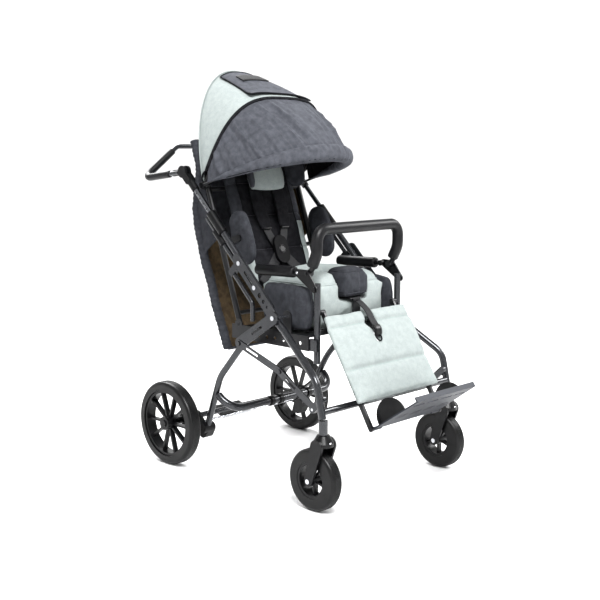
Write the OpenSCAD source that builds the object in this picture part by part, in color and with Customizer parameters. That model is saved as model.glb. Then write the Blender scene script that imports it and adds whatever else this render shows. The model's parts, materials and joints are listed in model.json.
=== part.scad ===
// Special needs buggy: a folding chassis with a padded seat, leg rest, canopy and push handle.
// Millimetres, +Z up, the front faces -Y, the origin is under the middle of the overall size.
// Heights are from the floor; distances along Y are from the rear axle, minus to the front.

/* [Wheels] */
// Outer diameter of a rear wheel
rear_wheel_d = 270; // [240:1:290]
// Width of a rear tyre
rear_tyre_w = 44; // [36:1:48]
// Distance between the middles of the rear wheels
rear_track = 596; // [590:1:640]
// Number of double spokes in a rear wheel
rear_spokes = 5; // [3:1:7]
// Outer diameter of a caster wheel
caster_d = 178; // [150:1:190]
// Width of a caster tyre
caster_w = 40; // [30:1:44]
// Distance between the caster stems
front_track = 580; // [570:1:620]
// Distance from the rear axle to the caster stems
stem_reach = 675; // [650:1:720]
// How far the caster wheel trails its stem
caster_trail = 30; // [20:1:36]

/* [Frame] */
// Distance between the middle planes of the left and right frame tubes
frame_w = 492; // [488:1:520]
// Fold pivot, distance in front of the rear axle
fold_reach = 449; // [435:1:465]
// Fold pivot, height
fold_z = 524; // [510:1:540]
// Slope of the push tubes
push_slope = 45; // [42:0.5:48]
// Length from the fold pivot to the handle knuckle along the push tube
push_l = 592; // [570:1:620]
// Outer diameter of the lower push tubes
push_tube_d = 20; // [18:0.5:21]
// Outer diameter of the telescopic upper tubes
upper_tube_d = 16; // [14:0.5:16]
// Outer diameter of the front legs
front_leg_d = 22; // [18:0.5:22]
// Outer diameter of the rear legs
rear_leg_d = 21; // [18:0.5:22]
// Outer diameter of the bent U tube behind the seat
u_tube_d = 25; // [18:0.5:26]
// Width of the perforated side plates
side_plate_w = 37; // [34:1:42]
// Thickness of plates and flat links
plate_t = 4; // [3:0.2:4]
// Width of the slotted stay links
stay_w = 22; // [20:0.5:26]

/* [Handle] */
// Reach of the handle behind its knuckles
handle_reach = 208; // [180:1:230]
// Drop of the handle corners below the knuckles
handle_drop = 24; // [10:1:40]
// Rise of the crossbar above the knuckles
handle_rise = 80; // [60:1:100]
// Length of the straight crossbar
crossbar_l = 212; // [160:1:240]
// Diameter of the handle tube
handle_d = 16; // [14:0.5:18]
// Diameter of the handle grips
grip_d = 24; // [21:0.5:26]

/* [Seat] */
// Height of the seat pan
seat_z = 470; // [462:1:476]
// Width between the seat side plates
seat_w = 406; // [400:1:412]
// Length of the seat pan
seat_l = 292; // [280:1:300]
// Thickness of the seat cushion
cushion_t = 184; // [160:1:186]
// Height of the side pads
side_pad_h = 150; // [120:1:152]
// Slope of the backrest from upright
back_slope = 19; // [17:0.5:21]
// Length of the backrest frame above its pivot
back_l = 612; // [590:1:630]
// Distance between the middles of the backrest tubes
back_w = 400; // [392:1:404]
// Height of the bumper bar
bumper_z = 784; // [770:1:800]
// Diameter of the foam on the bumper bar and armrests
foam_d = 34; // [30:0.5:36]

/* [Leg rest] */
// Slope of the leg rest from upright
leg_slope = 31; // [28:0.5:34]
// Length of the calf pad
calf_l = 294; // [280:1:300]
// Width of the calf pad
calf_w = 396; // [340:1:404]
// Length from the leg rest hinge to the footplate hinge
shin_l = 368; // [360:1:376]
// Depth of the footplate
footplate_l = 178; // [165:1:190]
// Width of the footplate at the heel
footplate_w = 300; // [280:1:300]

/* [Canopy] */
// Height of the canopy hinges
canopy_z = 900; // [890:1:910]
// Radius of the canopy at its rear bow
canopy_rear_r = 378; // [355:1:390]
// Radius of the canopy at its middle bow
canopy_mid_r = 305; // [295:1:315]
// Reach of the canopy brim from its hinges
canopy_front_r = 357; // [330:1:380]
// Half width of the canopy at its middle bow
canopy_half_w = 225; // [222:1:228]
// Thickness of the canopy cloth
cloth_t = 3; // [2:0.5:4]

/* [Hidden] */
$fn = 48;
// Clearances
fit = 0.1;
gap = 0.4;
run = 0.3;
over = 1;
tuck = 2;
lap = 0.8;
// Small parts
bolt_d = 8;
head_d = 14;
head_h = 3.5;
pin_d = 10;
washer_d = 22;

// Frame planes and points, as [distance, height] in the side view
frame_x = frame_w / 2;
rear_r = rear_wheel_d / 2;
caster_r = caster_d / 2;
rear_x = rear_track / 2;
stem_x = front_track / 2;
plate_x = frame_x + front_leg_d / 2 + gap;
fold_x = plate_x + plate_t + gap;
stay_x = fold_x + plate_t + gap;
stay_t = 3;
stay_out_x = stay_x + stay_t + gap;
fold_p = [-fold_reach, fold_z];
push_dir = [cos(push_slope), sin(push_slope)];
push_norm = [sin(push_slope), -cos(push_slope)];
function on_push(t, off = 0) = fold_p + t * push_dir + off * push_norm;
function p3(x, p) = [x, p[0], p[1]];
function mid(a, b, s) = a + (b - a) * s;
function turn(v, a) = [v[0] * cos(a) - v[1] * sin(a), v[0] * sin(a) + v[1] * cos(a)];

// Stations along the push tube
plate_top_t = 212;
plate_mid_t = 116;
plate_end_t = 226;
main_low_t = 34;
main_top_t = 400;
sleeve_low_t = 333;
sleeve_top_t = 415;
boss_low_t = 306;
boss_top_t = 360;
upper_low_t = 262;
knuckle_low_t = 514;
lock_off = 22.5;
rod_off = 53;
lock_d = 14;
sleeve_d = 30;
boss_d = 23;
clamp_t = 221;
rod_bend_t = 98;
knuckle_p = on_push(push_l);
knuckle_d = 38;
knuckle_w = 24;
collar_d = 24;

// Front legs
leg_lead = 40;
leg_start_off = 12;
leg_bend_back = 26;
leg_bend_z = 371;
leg_bend_p = [-stem_reach + leg_bend_back, leg_bend_z];
leg_low_z = 268;
leg_low_back = 3;
leg_low_p = [-stem_reach + leg_low_back, leg_low_z];
leg_slope_v = leg_bend_p - fold_p;
leg_dir = leg_slope_v / norm(leg_slope_v);
leg_top_p = fold_p + [leg_start_off / 3, -leg_start_off];
leg_lead_p = leg_top_p + leg_dir * leg_lead;
leg_bend_r = 62;
socket_d = 26;
socket_low_z = 224;
socket_top_z = 265;
stem_d = 12;
cross_tube_d = 20;
cross_z = 286;
cross_p = mid(leg_bend_p, leg_low_p, (leg_bend_p[1] - cross_z) / (leg_bend_p[1] - leg_low_z));

// Rear frame
fold_plate_v = [146, -93];
rear_knee_v = [112, -124];
stay_c = fold_p + fold_plate_v;
rear_knee_p = stay_c + rear_knee_v;
rear_low_p = [-98, 122];
rear_leg_in = 23;
rear_low_x = frame_x - rear_leg_in;
rear_bend_r = 150;
arm_t = 12;
arm_x = rear_low_x + rear_leg_d / 2 + gap;
arm_w = 34;
axle_d = 12;
hub_w = 50;
rear_axle_p = [0, rear_r];
rear_cross_p = [-68, 158];
rear_cross_d = 18;
u_share = 0.29;
u_run_p = [-226, 204];
u_root_p = mid(rear_knee_p, rear_low_p, u_share);
u_dir = (u_run_p - u_root_p) / norm(u_run_p - u_root_p);
u_seat = 3.6;
u_start_p = u_root_p + u_dir * (rear_leg_d / 2 + u_seat);
u_start_x = frame_x + (rear_low_x - frame_x) * u_share;
u_bend_r = 60;
ring_d = 33;
ring_w = 14;
ring_xs = [-60, -20, 60, 110];

// Stays
stay_b_back = 51;
stay_b_z = 285;
stay_b = [-stem_reach + stay_b_back, stay_b_z];
knee_v = [-32, -153];
stay_m = fold_p + knee_v;
lug_z = 320;
lug_p = mid(leg_bend_p, leg_low_p, (leg_bend_p[1] - lug_z) / (leg_bend_p[1] - leg_low_z));
lug_x = stay_out_x + stay_t + gap;
lug_t = stem_x - front_leg_d / 2 + 2 * tuck - lug_x;
slot_l = 46;
slot_w = 8;

// Brake
brake_p = [-66, 134];
brake_d = 8;
pedal_w = 120;
pedal_x = -65;
pedal_t = 10;
pedal_l = 56;

// Seat
pan_t = 4;
rail_h = 40;
rail_t = 4;
seat_x = seat_w / 2;
seat_front = -537;
pan_z = seat_z;
ear_w = 34;
post_d = 20;
post_x = 183;
post_p = [-549, 612];
post_low_z = 392;
post_end_z = 628;
clamp_h = 34;
arm_pin_p = [-482, 655];
bump_pin_p = [-516, 655];
bracket_w = 22;
bracket_x = post_x + post_d / 2 + gap;
arm_tube_d = 14;
arm_l = 178;
arm_drop = 5;
arm_x0 = bracket_x - gap - arm_tube_d / 2 - tuck;
bump_tube_d = 16;
bump_x = bracket_x - gap - bump_tube_d / 2 - tuck;
bump_leg_p = [-548, 688];
bump_bend_r = 36;
side_pad_t = 40;
side_pad_l = 216;
abd_w = 110;
abd_l = 94;
abd_h = 90;
abd_z = 570;
abd_y = -496;
abd_room = 5;
abd_plate_t = 4;
abd_bar_w = 32;

// Leg rest, in its own side view: along the shin and out to the front
leg_hinge_p = [-549, 541];
shin_v = [-sin(leg_slope), -cos(leg_slope)];
front_v = [-cos(leg_slope), sin(leg_slope)];
function on_leg(s, n) = leg_hinge_p + s * shin_v + n * front_v;
calf_t = 22;
calf_start = 10;
bar_w = 9;
bar_d = 14;
calf_back = bar_d / 2 + gap;
bar_x = 154;
hinge_d = 16;
key_w = 44;
key_l = 104;
key_slot_w = 20;
foot_tilt = 4;
foot_t = 4;
lip_h = 16;
lip_w = 274;
foot_hinge_d = 11;
guard_r = 56;
guard_x = 134;
guard_start = 15;
slot_big = [52, 9];
slot_small = [40, 4];

// Backrest, in its own side view: up the back and out to the rear
back_p = [-235, 474];
back_up = [sin(back_slope), cos(back_slope)];
back_out = [cos(back_slope), -sin(back_slope)];
function on_back(e, m) = back_p + e * back_up + m * back_out;
back_x = back_w / 2;
back_tube_d = 18;
back_bend_r = 90;
back_pad_t = 34;
back_slat_shares = [0.3, 0.7];
back_slat_d = 14;
back_pad_m = -back_slat_d / 2 - gap;
back_pad_w = 330;
back_pad_low = 82;
back_pad_l = 508;
pouch_t = 9;
pouch_x = 199;
pouch_rows = [[-62, 104], [30, 110], [120, 115], [240, 117], [330, 110], [402, 98], [460, 66], [505, 40], [520, 34.5],
  [560, 34], [604, 33]];
lateral_w = 102;
lateral_l = 182;
lateral_t = 28;
lateral_x = 179;
lateral_e = 256;
lateral_cols = 8;
lateral_m = -78;
strap_w = 38;
strap_t = 3;
strap_x = 48;
strap_top = 470;
buckle_e = 214;
buckle_w = 58;
buckle_l = 64;
buckle_t = 13;
button_d = 20;
button_t = 5;
head_w = 168;
head_l = 112;
head_t = 30;
head_e = 462;
wing_w = 70;
wing_turn = 54;
wing_seat = 4.6;
wing_cols = 8;

// Canopy: hinge point on the backrest tube
canopy_e = (canopy_z - back_p[1]) / back_up[1];
canopy_p = on_back(canopy_e, 0);
front_a = 19.5;
mid_a = 62.5;
rear_a = 104;
tail_a = 98;
brim_low_a = 13;
brim_top_a = 21;
tail_r = 168;
front_n = 2.2;
mid_n = 3.2;
rear_n = 2.1;
front_half_w = 229;
rear_half_w = 216;
mid_bow_d = 8;
mid_bow_x = 214.7;
front_bow_x = 224.2;
brim_t = 13;
bow_low_s = 0.05;
fold_count = 14;
fold_depth = 6;
rear_bulge = 8;
front_bulge = 12;
clip_w = 4;
canopy_clip_w = 1;

// Overall size and the place of the rear axle in it
front_most = on_leg(shin_l, 0)[0] - footplate_l * cos(leg_slope + foot_tilt) - foot_t / 2 * sin(leg_slope + foot_tilt);
rear_most = knuckle_p[0] + handle_reach + grip_d / 2;
axle_y = -(front_most + rear_most) / 2;

// Colours
c_metal = [0.27, 0.28, 0.3];
c_steel = [0.72, 0.73, 0.75];
c_black = [0.06, 0.06, 0.065];
c_rubber = [0.09, 0.09, 0.09];
c_suede = [0.25, 0.24, 0.27];
c_mint = [0.7, 0.83, 0.8];

// Shared shapes
module both() {
  children();
  mirror([1, 0, 0]) children();
}

// A flat shape drawn as [distance, height] and thickened to the left from x
module side_view(x, t) {
  translate([x, 0, 0]) rotate([90, 0, 90]) linear_extrude(height = t) children();
}

module bar2d(p, q, w) {
  d = q - p;
  translate(p) rotate(atan2(d[1], d[0])) translate([0, fit - w / 2]) square([norm(d), w - 2 * fit]);
  translate(p) circle(d = w);
  translate(q) circle(d = w);
}

module cross_rod(p, x0, x1, d) {
  translate([x0, p[0], p[1]]) rotate([0, 90, 0]) cylinder(d = d, h = x1 - x0);
}

module rod(p, q, d) {
  v = q - p;
  translate(p) rotate([0, acos(v[2] / norm(v)), atan2(v[1], v[0])]) cylinder(d = d, h = norm(v));
}

function unit(v) = v / norm(v);
function half_turn(a, b) = 90 - acos(max(-1, min(1, a * b))) / 2;
function tangent(p, i, r) = r * tan(half_turn(unit(p[i - 1] - p[i]), unit(p[i + 1] - p[i])));

// A round tube through points, bent with one radius; a bore makes it a sleeve
module bent(p, d, r, bore = 0) {
  n = len(p);
  for (i = [0:n - 2]) {
    v = unit(p[i + 1] - p[i]);
    a = i == 0 ? p[i] : p[i] + v * (tangent(p, i, r) - lap);
    b = i == n - 2 ? p[i + 1] : p[i + 1] - v * (tangent(p, i + 1, r) - lap);
    difference() {
      rod(a, b, d);
      if (bore > 0) rod(a - v * over, b + v * over, bore);
    }
  }
  for (i = [1:n - 2]) bend_piece(p[i - 1], p[i], p[i + 1], d, r, bore);
}

module bend_piece(p0, p1, p2, d, r, bore) {
  a = unit(p0 - p1);
  b = unit(p2 - p1);
  h = half_turn(a, b);
  c = p1 + unit(a + b) * r / cos(h);
  ex = unit(p1 + a * r * tan(h) - c);
  ey = -a;
  ez = cross(ex, ey);
  multmatrix([[ex[0], ey[0], ez[0], c[0]], [ex[1], ey[1], ez[1], c[1]], [ex[2], ey[2], ez[2], c[2]], [0, 0, 0, 1]])
    rotate_extrude(angle = 2 * h) translate([r, 0]) difference() {
      circle(d = d - fit);
      if (bore > 0) circle(d = bore + fit);
    }
}

// A closed skin between an outer and an inner grid of points, columns run to +X
module slab(top, low, nu, nv) {
  n = (nu + 1) * (nv + 1);
  loop = concat([for (i = [0:nu - 1]) i], [for (j = [0:nv - 1]) j * (nu + 1) + nu],
    [for (i = [nu:-1:1]) nv * (nu + 1) + i], [for (j = [nv:-1:1]) j * (nu + 1)]);
  m = len(loop);
  faces = concat(
    [for (j = [0:nv - 1]) for (i = [0:nu - 1]) let (a = j * (nu + 1) + i) [a, a + nu + 1, a + nu + 2]],
    [for (j = [0:nv - 1]) for (i = [0:nu - 1]) let (a = j * (nu + 1) + i) [a, a + nu + 2, a + 1]],
    [for (j = [0:nv - 1]) for (i = [0:nu - 1]) let (a = n + j * (nu + 1) + i) [a, a + nu + 2, a + nu + 1]],
    [for (j = [0:nv - 1]) for (i = [0:nu - 1]) let (a = n + j * (nu + 1) + i) [a, a + 1, a + nu + 2]],
    [for (k = [0:m - 1]) [loop[k], loop[(k + 1) % m], n + loop[(k + 1) % m]]],
    [for (k = [0:m - 1]) [loop[k], n + loop[(k + 1) % m], n + loop[k]]]);
  polyhedron(points = concat(top, low), faces = faces);
}

// A stuffed pad about the origin: rounded corners, drawn-in sides, a crown and stitched channels
pad_cols = 10;
pad_rows = 10;
pad_edge_share = 0.45;
pad_back_share = 0.82;
pad_draw_share = 0.03;
soft_round_share = 0.35;
mild_round_share = 0.55;
oval_round_share = 0.85;
square_round_share = 0.22;
channel_depth = 5;
channel_share = 0.09;
function channel(v, list) = len(list) == 0 ? 0 : max([for (c = list) exp(-pow((v - c) / channel_share, 2))]);
function pad_point(size, u, v, s, edge_share, round_share, list) =
  let (x = u * sqrt(1 - round_share * v * v / 2) * (1 - pad_draw_share * (1 - v * v)),
       y = v * sqrt(1 - round_share * u * u / 2) * (1 - pad_draw_share * (1 - u * u)),
       crown = sqrt(max(0, (1 - pow(u, 4)) * (1 - pow(v, 4)))),
       z = edge_share + (1 - edge_share) * crown)
  [size[0] / 2 * x, size[1] / 2 * y, s * (size[2] / 2 * z - channel_depth * crown * channel(v, list))];
module pad(size, round_share, list = [], nu = pad_cols, nv = pad_rows) {
  top = [for (j = [0:nv]) for (i = [0:nu]) pad_point(size, 2 * i / nu - 1, 2 * j / nv - 1, 1, pad_edge_share, round_share, list)];
  low = [for (j = [0:nv]) for (i = [0:nu]) pad_point(size, 2 * i / nu - 1, 2 * j / nv - 1, -1, pad_back_share, round_share, [])];
  slab(top, low, nu, nv);
}

// Stands a pad up in a side view slope: its length runs along the slope, its face looks to the front
module lean(p, a) {
  translate([0, p[0], p[1]]) rotate([90 - a, 0, 0]) children();
}

// Bolt across the frame, head outside
module cross_bolt(p, x0, x1, d) {
  cross_rod(p, x0, x1, d);
  cross_rod(p, x1, x1 + head_h, head_d);
}

// Chassis
module front_legs() color(c_metal) both() {
  difference() {
    bent([p3(frame_x, leg_top_p), p3(frame_x, leg_lead_p), p3(stem_x, leg_bend_p), p3(stem_x, leg_low_p)],
      front_leg_d, leg_bend_r);
    cross_rod(fold_p, frame_x - front_leg_d, frame_x + front_leg_d, pin_d + 2 * fit);
  }
  side_view(lug_x, lug_t) difference() {
    bar2d(lug_p, stay_b, stay_w);
    translate(stay_b) circle(d = bolt_d + 2 * fit);
  }
  difference() {
    translate([stem_x, -stem_reach, socket_low_z]) cylinder(d = socket_d, h = socket_top_z - socket_low_z);
    translate([stem_x, -stem_reach, socket_low_z - over])
      cylinder(d = stem_d + 2 * run, h = socket_top_z - socket_low_z + 2 * over);
  }
}

slot_share = 0.72;
plate_holes = [[0.74, 15], [0.54, 12], [0.36, 9]];
module side_plates() color(c_metal) both() side_view(plate_x, plate_t) difference() {
  bar2d(fold_p, on_push(plate_end_t), side_plate_w);
  translate(fold_p) circle(d = pin_d + 2 * fit);
  translate(on_push(plate_top_t)) circle(d = bolt_d + 2 * fit);
  translate(on_push(plate_mid_t)) circle(d = bolt_d + 2 * fit);
  bar2d(on_push(plate_top_t * slot_share - slot_l / 2), on_push(plate_top_t * slot_share + slot_l / 2), slot_w);
  for (h = plate_holes) translate(on_push(plate_mid_t * h[0])) circle(d = h[1]);
}

module main_tubes() color(c_metal) both() difference() {
  rod(p3(frame_x, on_push(main_low_t)), p3(frame_x, on_push(main_top_t)), push_tube_d);
  rod(p3(frame_x, on_push(upper_low_t - sleeve_d * 4)), p3(frame_x, on_push(main_top_t + over)), upper_tube_d + 2 * run);
  for (t = [plate_top_t, plate_mid_t]) cross_rod(on_push(t), frame_x, plate_x, bolt_d + 2 * fit);
}

module sleeves() color(c_black) both() difference() {
  union() {
    rod(p3(frame_x, on_push(sleeve_low_t)), p3(frame_x, on_push(sleeve_top_t)), sleeve_d);
    rod(p3(frame_x, on_push(boss_low_t, lock_off)), p3(frame_x, on_push(boss_top_t, lock_off)), boss_d);
  }
  rod(p3(frame_x, on_push(boss_low_t - over)), p3(frame_x, on_push(main_top_t + fit)), push_tube_d + 2 * fit);
  rod(p3(frame_x, on_push(sleeve_low_t)), p3(frame_x, on_push(sleeve_top_t + over)), upper_tube_d + 2 * run);
  rod(p3(frame_x, on_push(boss_low_t - over, lock_off)), p3(frame_x, on_push(sleeve_top_t + over, lock_off)),
    lock_d + 2 * run);
}

module frame_bolts() color(c_steel) both() {
  cross_bolt(fold_p, seat_x + rail_t + fit, fold_x + plate_t + gap, pin_d);
  for (t = [plate_top_t, plate_mid_t]) cross_bolt(on_push(t), frame_x + bolt_d / 2, plate_x + plate_t, bolt_d);
  cross_rod(stay_b, stay_out_x - gap - head_h, stay_out_x - gap, head_d);
  cross_rod(stay_b, stay_out_x - gap - over, lug_x + lug_t, bolt_d);
}

module front_cross_tube() color(c_metal) difference() {
  cross_rod(cross_p, -stem_x, stem_x, cross_tube_d);
  both() bent([p3(frame_x, leg_top_p), p3(frame_x, leg_lead_p), p3(stem_x, leg_bend_p), p3(stem_x, leg_low_p)],
    front_leg_d + 2 * fit, leg_bend_r);
}

rail_holes = [0.12, 0.24, 0.36, 0.48, 0.6, 0.72, 0.84];
hole_d = 12;
module seat_frame() color(c_black) {
  both() side_view(seat_x, rail_t) difference() {
    union() {
      translate([seat_front, pan_z - rail_h]) square([seat_l + rail_h, rail_h + pan_t]);
      bar2d([fold_p[0], pan_z], fold_p, ear_w);
      bar2d([back_p[0], pan_z], back_p, ear_w);
    }
    for (s = rail_holes) translate([seat_front + seat_l * s, pan_z - rail_h / 2]) circle(d = hole_d);
    translate(fold_p) circle(d = pin_d + 2 * fit);
    translate(back_p) circle(d = pin_d + 2 * run);
  }
  difference() {
    translate([-seat_x, seat_front, pan_z]) cube([seat_w, seat_l - rail_h / 2, pan_t]);
    for (i = [-3:3]) for (j = [1:4]) translate([i * hole_d * 4, seat_front + j * seat_l / 5, pan_z - over])
      cylinder(d = hole_d * 2, h = pan_t + 2 * over);
  }
}

cushion_seams = [-0.33, 0.33];
cushion_l = seat_l - rail_h / 2;
cushion_w = seat_w - 2 * side_pad_t - 2 * tuck - 6 * gap;
module seat_cushion() color(c_mint) difference() {
  translate([0, seat_front + cushion_l / 2 + gap, pan_z + pan_t + gap + cushion_t / 2])
    pad([cushion_w, cushion_l, cushion_t], square_round_share, cushion_seams);
  translate([-abd_w / 2 - abd_room, seat_front - abd_l, abd_z - abd_plate_t - abd_room])
    cube([abd_w + 2 * abd_room, abd_y + abd_l / 2 + abd_room - seat_front + abd_l, cushion_t]);
}

side_pad_p = [seat_front + side_pad_l / 2 + tuck, pan_z + pan_t + gap + side_pad_h / 2];
module side_pad() translate(p3(seat_x - side_pad_t / 2 - gap, side_pad_p))
  rotate([90, 0, 90]) pad([side_pad_l, side_pad_h, side_pad_t], mild_round_share);
module side_pad_left() color(c_suede) side_pad();
module side_pad_right() color(c_suede) mirror([1, 0, 0]) side_pad();

module front_posts() color(c_metal) both() {
  difference() {
    rod([post_x, post_p[0], post_low_z], [post_x, post_p[0], post_end_z], post_d);
    cross_rod(leg_hinge_p, post_x - post_d, post_x, hinge_d / 2 + 2 * run);
    cross_rod(post_p, post_x, bracket_x, bolt_d + 2 * fit);
  }
  difference() {
    translate([post_x + post_d / 4, post_p[0] - clamp_h / 2, pan_z - rail_h + 2 * gap])
      cube([seat_x - post_x - post_d / 4 - fit, clamp_h, clamp_h]);
    rod([post_x, post_p[0], post_low_z], [post_x, post_p[0], post_end_z], post_d + 2 * fit);
  }
}

module arm_brackets() color(c_black) both() {
  difference() {
    side_view(bracket_x, plate_t) {
      bar2d(post_p, bump_pin_p, bracket_w);
      bar2d(bump_pin_p, arm_pin_p, bracket_w);
      bar2d(post_p, arm_pin_p, bracket_w);
    }
    for (p = [bump_pin_p, arm_pin_p]) cross_rod(p, bracket_x - over, bracket_x + plate_t + over, bolt_d + 2 * run);
  }
  cross_rod(post_p, post_x + fit, bracket_x + fit, bolt_d);
  cross_rod(post_p, bracket_x + plate_t - fit, bracket_x + plate_t + head_h, head_d);
}

module abductor_block() color(c_suede) translate([0, abd_y, abd_z + abd_h / 2])
  pad([abd_w, abd_l, abd_h], square_round_share);

module abductor_arm() color(c_black) {
  translate([-abd_bar_w, seat_front - abd_plate_t - gap, abd_z - abd_plate_t - gap])
    cube([2 * abd_bar_w, abd_y + abd_l / 4 - seat_front, abd_plate_t]);
  translate([-abd_bar_w / 2, seat_front - abd_plate_t - gap, pan_z])
    cube([abd_bar_w, abd_plate_t, abd_z - pan_z - gap - fit]);
}

// Telescopic tubes and the handle
module upper_tubes() color(c_steel) both()
  rod(p3(frame_x, on_push(upper_low_t)), p3(frame_x, on_push(knuckle_low_t + collar_d)), upper_tube_d);

knuckle_pin_d = 10;
module tilt_knuckles() color(c_black) both() difference() {
  union() {
    rod(p3(frame_x, on_push(knuckle_low_t)), p3(frame_x, on_push(push_l - knuckle_d / 2)), collar_d);
    for (x = [frame_x - knuckle_w / 2, frame_x + knuckle_w / 6 + gap])
      cross_rod(knuckle_p, x, x + knuckle_w / 3 - gap, knuckle_d);
    for (x = [frame_x - knuckle_w / 2, frame_x + knuckle_w / 6 + gap])
      side_view(x, knuckle_w / 3 - gap) bar2d(on_push(push_l - knuckle_d), knuckle_p, collar_d);
    cross_rod(knuckle_p, frame_x - knuckle_w / 2 + over, frame_x + knuckle_w / 2 - over, knuckle_pin_d);
  }
  rod(p3(frame_x, on_push(knuckle_low_t - over)), p3(frame_x, on_push(knuckle_low_t + collar_d + fit)),
    upper_tube_d + 2 * fit);
}

corner_p = knuckle_p + [handle_reach, -handle_drop];
bar_p = knuckle_p + [handle_reach, handle_rise];
handle_bend_r = 34;
arm_v = corner_p - knuckle_p;
handle_start_share = 0.13;
tongue_share = 0.24;
handle_start_p = knuckle_p + arm_v * handle_start_share;
tongue_t = knuckle_w / 3 - 2 * gap;
module handle_bar() color(c_metal) {
  bent([p3(-frame_x, handle_start_p), p3(-frame_x, corner_p), p3(-crossbar_l / 2, bar_p),
    p3(crossbar_l / 2, bar_p), p3(frame_x, corner_p), p3(frame_x, handle_start_p)], handle_d, handle_bend_r);
  both() side_view(frame_x - tongue_t / 2, tongue_t) difference() {
    bar2d(knuckle_p, knuckle_p + arm_v * tongue_share, handle_d + 2 * tuck);
    translate(knuckle_p) circle(d = knuckle_pin_d + 2 * run);
  }
}

grip_start_share = 0.34;
grip_end_share = 0.86;
module handle_grips() color(c_rubber) both()
  bent([mid(p3(frame_x, knuckle_p), p3(frame_x, corner_p), grip_start_share), p3(frame_x, corner_p),
    mid(p3(frame_x, corner_p), p3(crossbar_l / 2, bar_p), grip_end_share)], grip_d, handle_bend_r, handle_d + 2 * fit);

// Backrest
module back_frame() color(c_black) difference() {
  union() {
    bent([p3(-back_x, on_back(0, 0)), p3(-back_x, on_back(back_l, 0)), p3(back_x, on_back(back_l, 0)),
      p3(back_x, on_back(0, 0))], back_tube_d, back_bend_r);
    cross_rod(on_back(back_tube_d * 2, 0), -back_x, back_x, back_slat_d);
    for (s = back_slat_shares) cross_rod(on_back(back_pad_low + back_pad_l * s, 0), -back_x, back_x, back_slat_d);
  }
  both() cross_rod(back_p, 0, back_x + back_tube_d, pin_d + 2 * fit);
  both() side_view(seat_x - gap, back_tube_d) bar2d(back_p, [back_p[0], pan_z], ear_w + 2 * gap);
}

back_seams = [-0.45, 0, 0.42];
module back_cushion() color(c_mint)
  lean(on_back(back_pad_low + back_pad_l / 2, back_pad_m - back_pad_t / 2), back_slope)
    pad([back_pad_w, back_pad_l, back_pad_t], soft_round_share, back_seams);

pouch_cols = 12;
pouch_bow = 16;
function pouch_point(r, u, t) =
  let (p = on_back(r[0], r[1] - pouch_bow * u * u - t)) [pouch_x * u, p[0], p[1]];
module back_pouch() color(c_suede) slab(
  [for (r = pouch_rows) for (i = [0:pouch_cols]) pouch_point(r, 1 - 2 * i / pouch_cols, 0)],
  [for (r = pouch_rows) for (i = [0:pouch_cols]) pouch_point(r, 1 - 2 * i / pouch_cols, pouch_t)],
  pouch_cols, len(pouch_rows) - 1);

module lateral_pads() color(c_suede) both()
  translate(p3(lateral_x, on_back(lateral_e, lateral_m))) rotate([-back_slope, 0, 0])
    rotate([90, 0, 90]) pad([lateral_w, lateral_l, lateral_t], oval_round_share, [], lateral_cols, lateral_cols);

lat_out = lateral_x + lateral_t / 2 + gap;
module back_fittings() color(c_black) {
  both() difference() {
    side_view(lat_out, clip_w) bar2d(on_back(lateral_e, -bracket_w / 2), on_back(lateral_e, lateral_m), bracket_w);
    rod(p3(back_x, on_back(lateral_e - bracket_w, 0)), p3(back_x, on_back(lateral_e + bracket_w, 0)), back_tube_d + 2 * fit);
  }
  both() difference() {
    union() {
      cross_rod(canopy_p, back_x, back_x + back_tube_d / 2 + canopy_clip_w, washer_d);
      cross_rod(canopy_p, back_x, front_bow_x + mid_bow_d / 2, bolt_d - tuck);
    }
    rod(p3(back_x, on_back(canopy_e - washer_d, 0)), p3(back_x, on_back(canopy_e + washer_d, 0)), back_tube_d + 2 * fit);
  }
  both() cross_rod(back_p, back_x - back_tube_d / 2, seat_x + rail_t + over, pin_d);
}

strap_m = back_pad_m - back_pad_t - gap;
lap_turn = 38;
lap_l = 104;
module harness_straps() color(c_black) {
  both() lean(on_back((strap_top + buckle_e) / 2, strap_m - strap_t / 2), back_slope)
    translate([strap_x, 0, 0]) cube([strap_w, strap_top - buckle_e, strap_t], center = true);
  both() lean(on_back(buckle_e - buckle_l / 3, strap_m - strap_t / 2), back_slope)
    rotate([0, 0, lap_turn]) translate([0, -lap_l / 2, 0]) cube([strap_w, lap_l, strap_t], center = true);
}

module harness_buckle() color(c_black) lean(on_back(buckle_e, strap_m - strap_t - gap - buckle_t / 2), back_slope)
  difference() {
    union() {
      cube([buckle_w, buckle_l - buckle_w / 2, buckle_t], center = true);
      for (s = [-1, 1]) translate([0, s * (buckle_l - buckle_w / 2) / 2, -buckle_t / 2])
        cylinder(d = buckle_w, h = buckle_t);
    }
    translate([0, 0, buckle_t / 2 - button_t]) cylinder(d = button_d + 2 * run, h = button_t + over);
  }

module buckle_button() color(c_metal) lean(on_back(buckle_e, strap_m - strap_t - gap - buckle_t / 2), back_slope)
  translate([0, 0, buckle_t / 2 - button_t / 4]) cylinder(d = button_d, h = button_t / 2);

module headrest_pad() color(c_mint) lean(on_back(head_e, strap_m - strap_t - gap - head_t / 2), back_slope)
  pad([head_w, head_l, head_t], mild_round_share);

module headrest_wings() color(c_suede) both()
  lean(on_back(head_e, strap_m - strap_t - gap - head_t / 2), back_slope)
    translate([head_w / 2 - wing_seat, 0, head_t / 4]) rotate([0, -wing_turn, 0])
      translate([wing_w / 2, 0, 0]) pad([wing_w, head_l, head_t * 2 / 3], oval_round_share, [], wing_cols, wing_cols);

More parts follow.
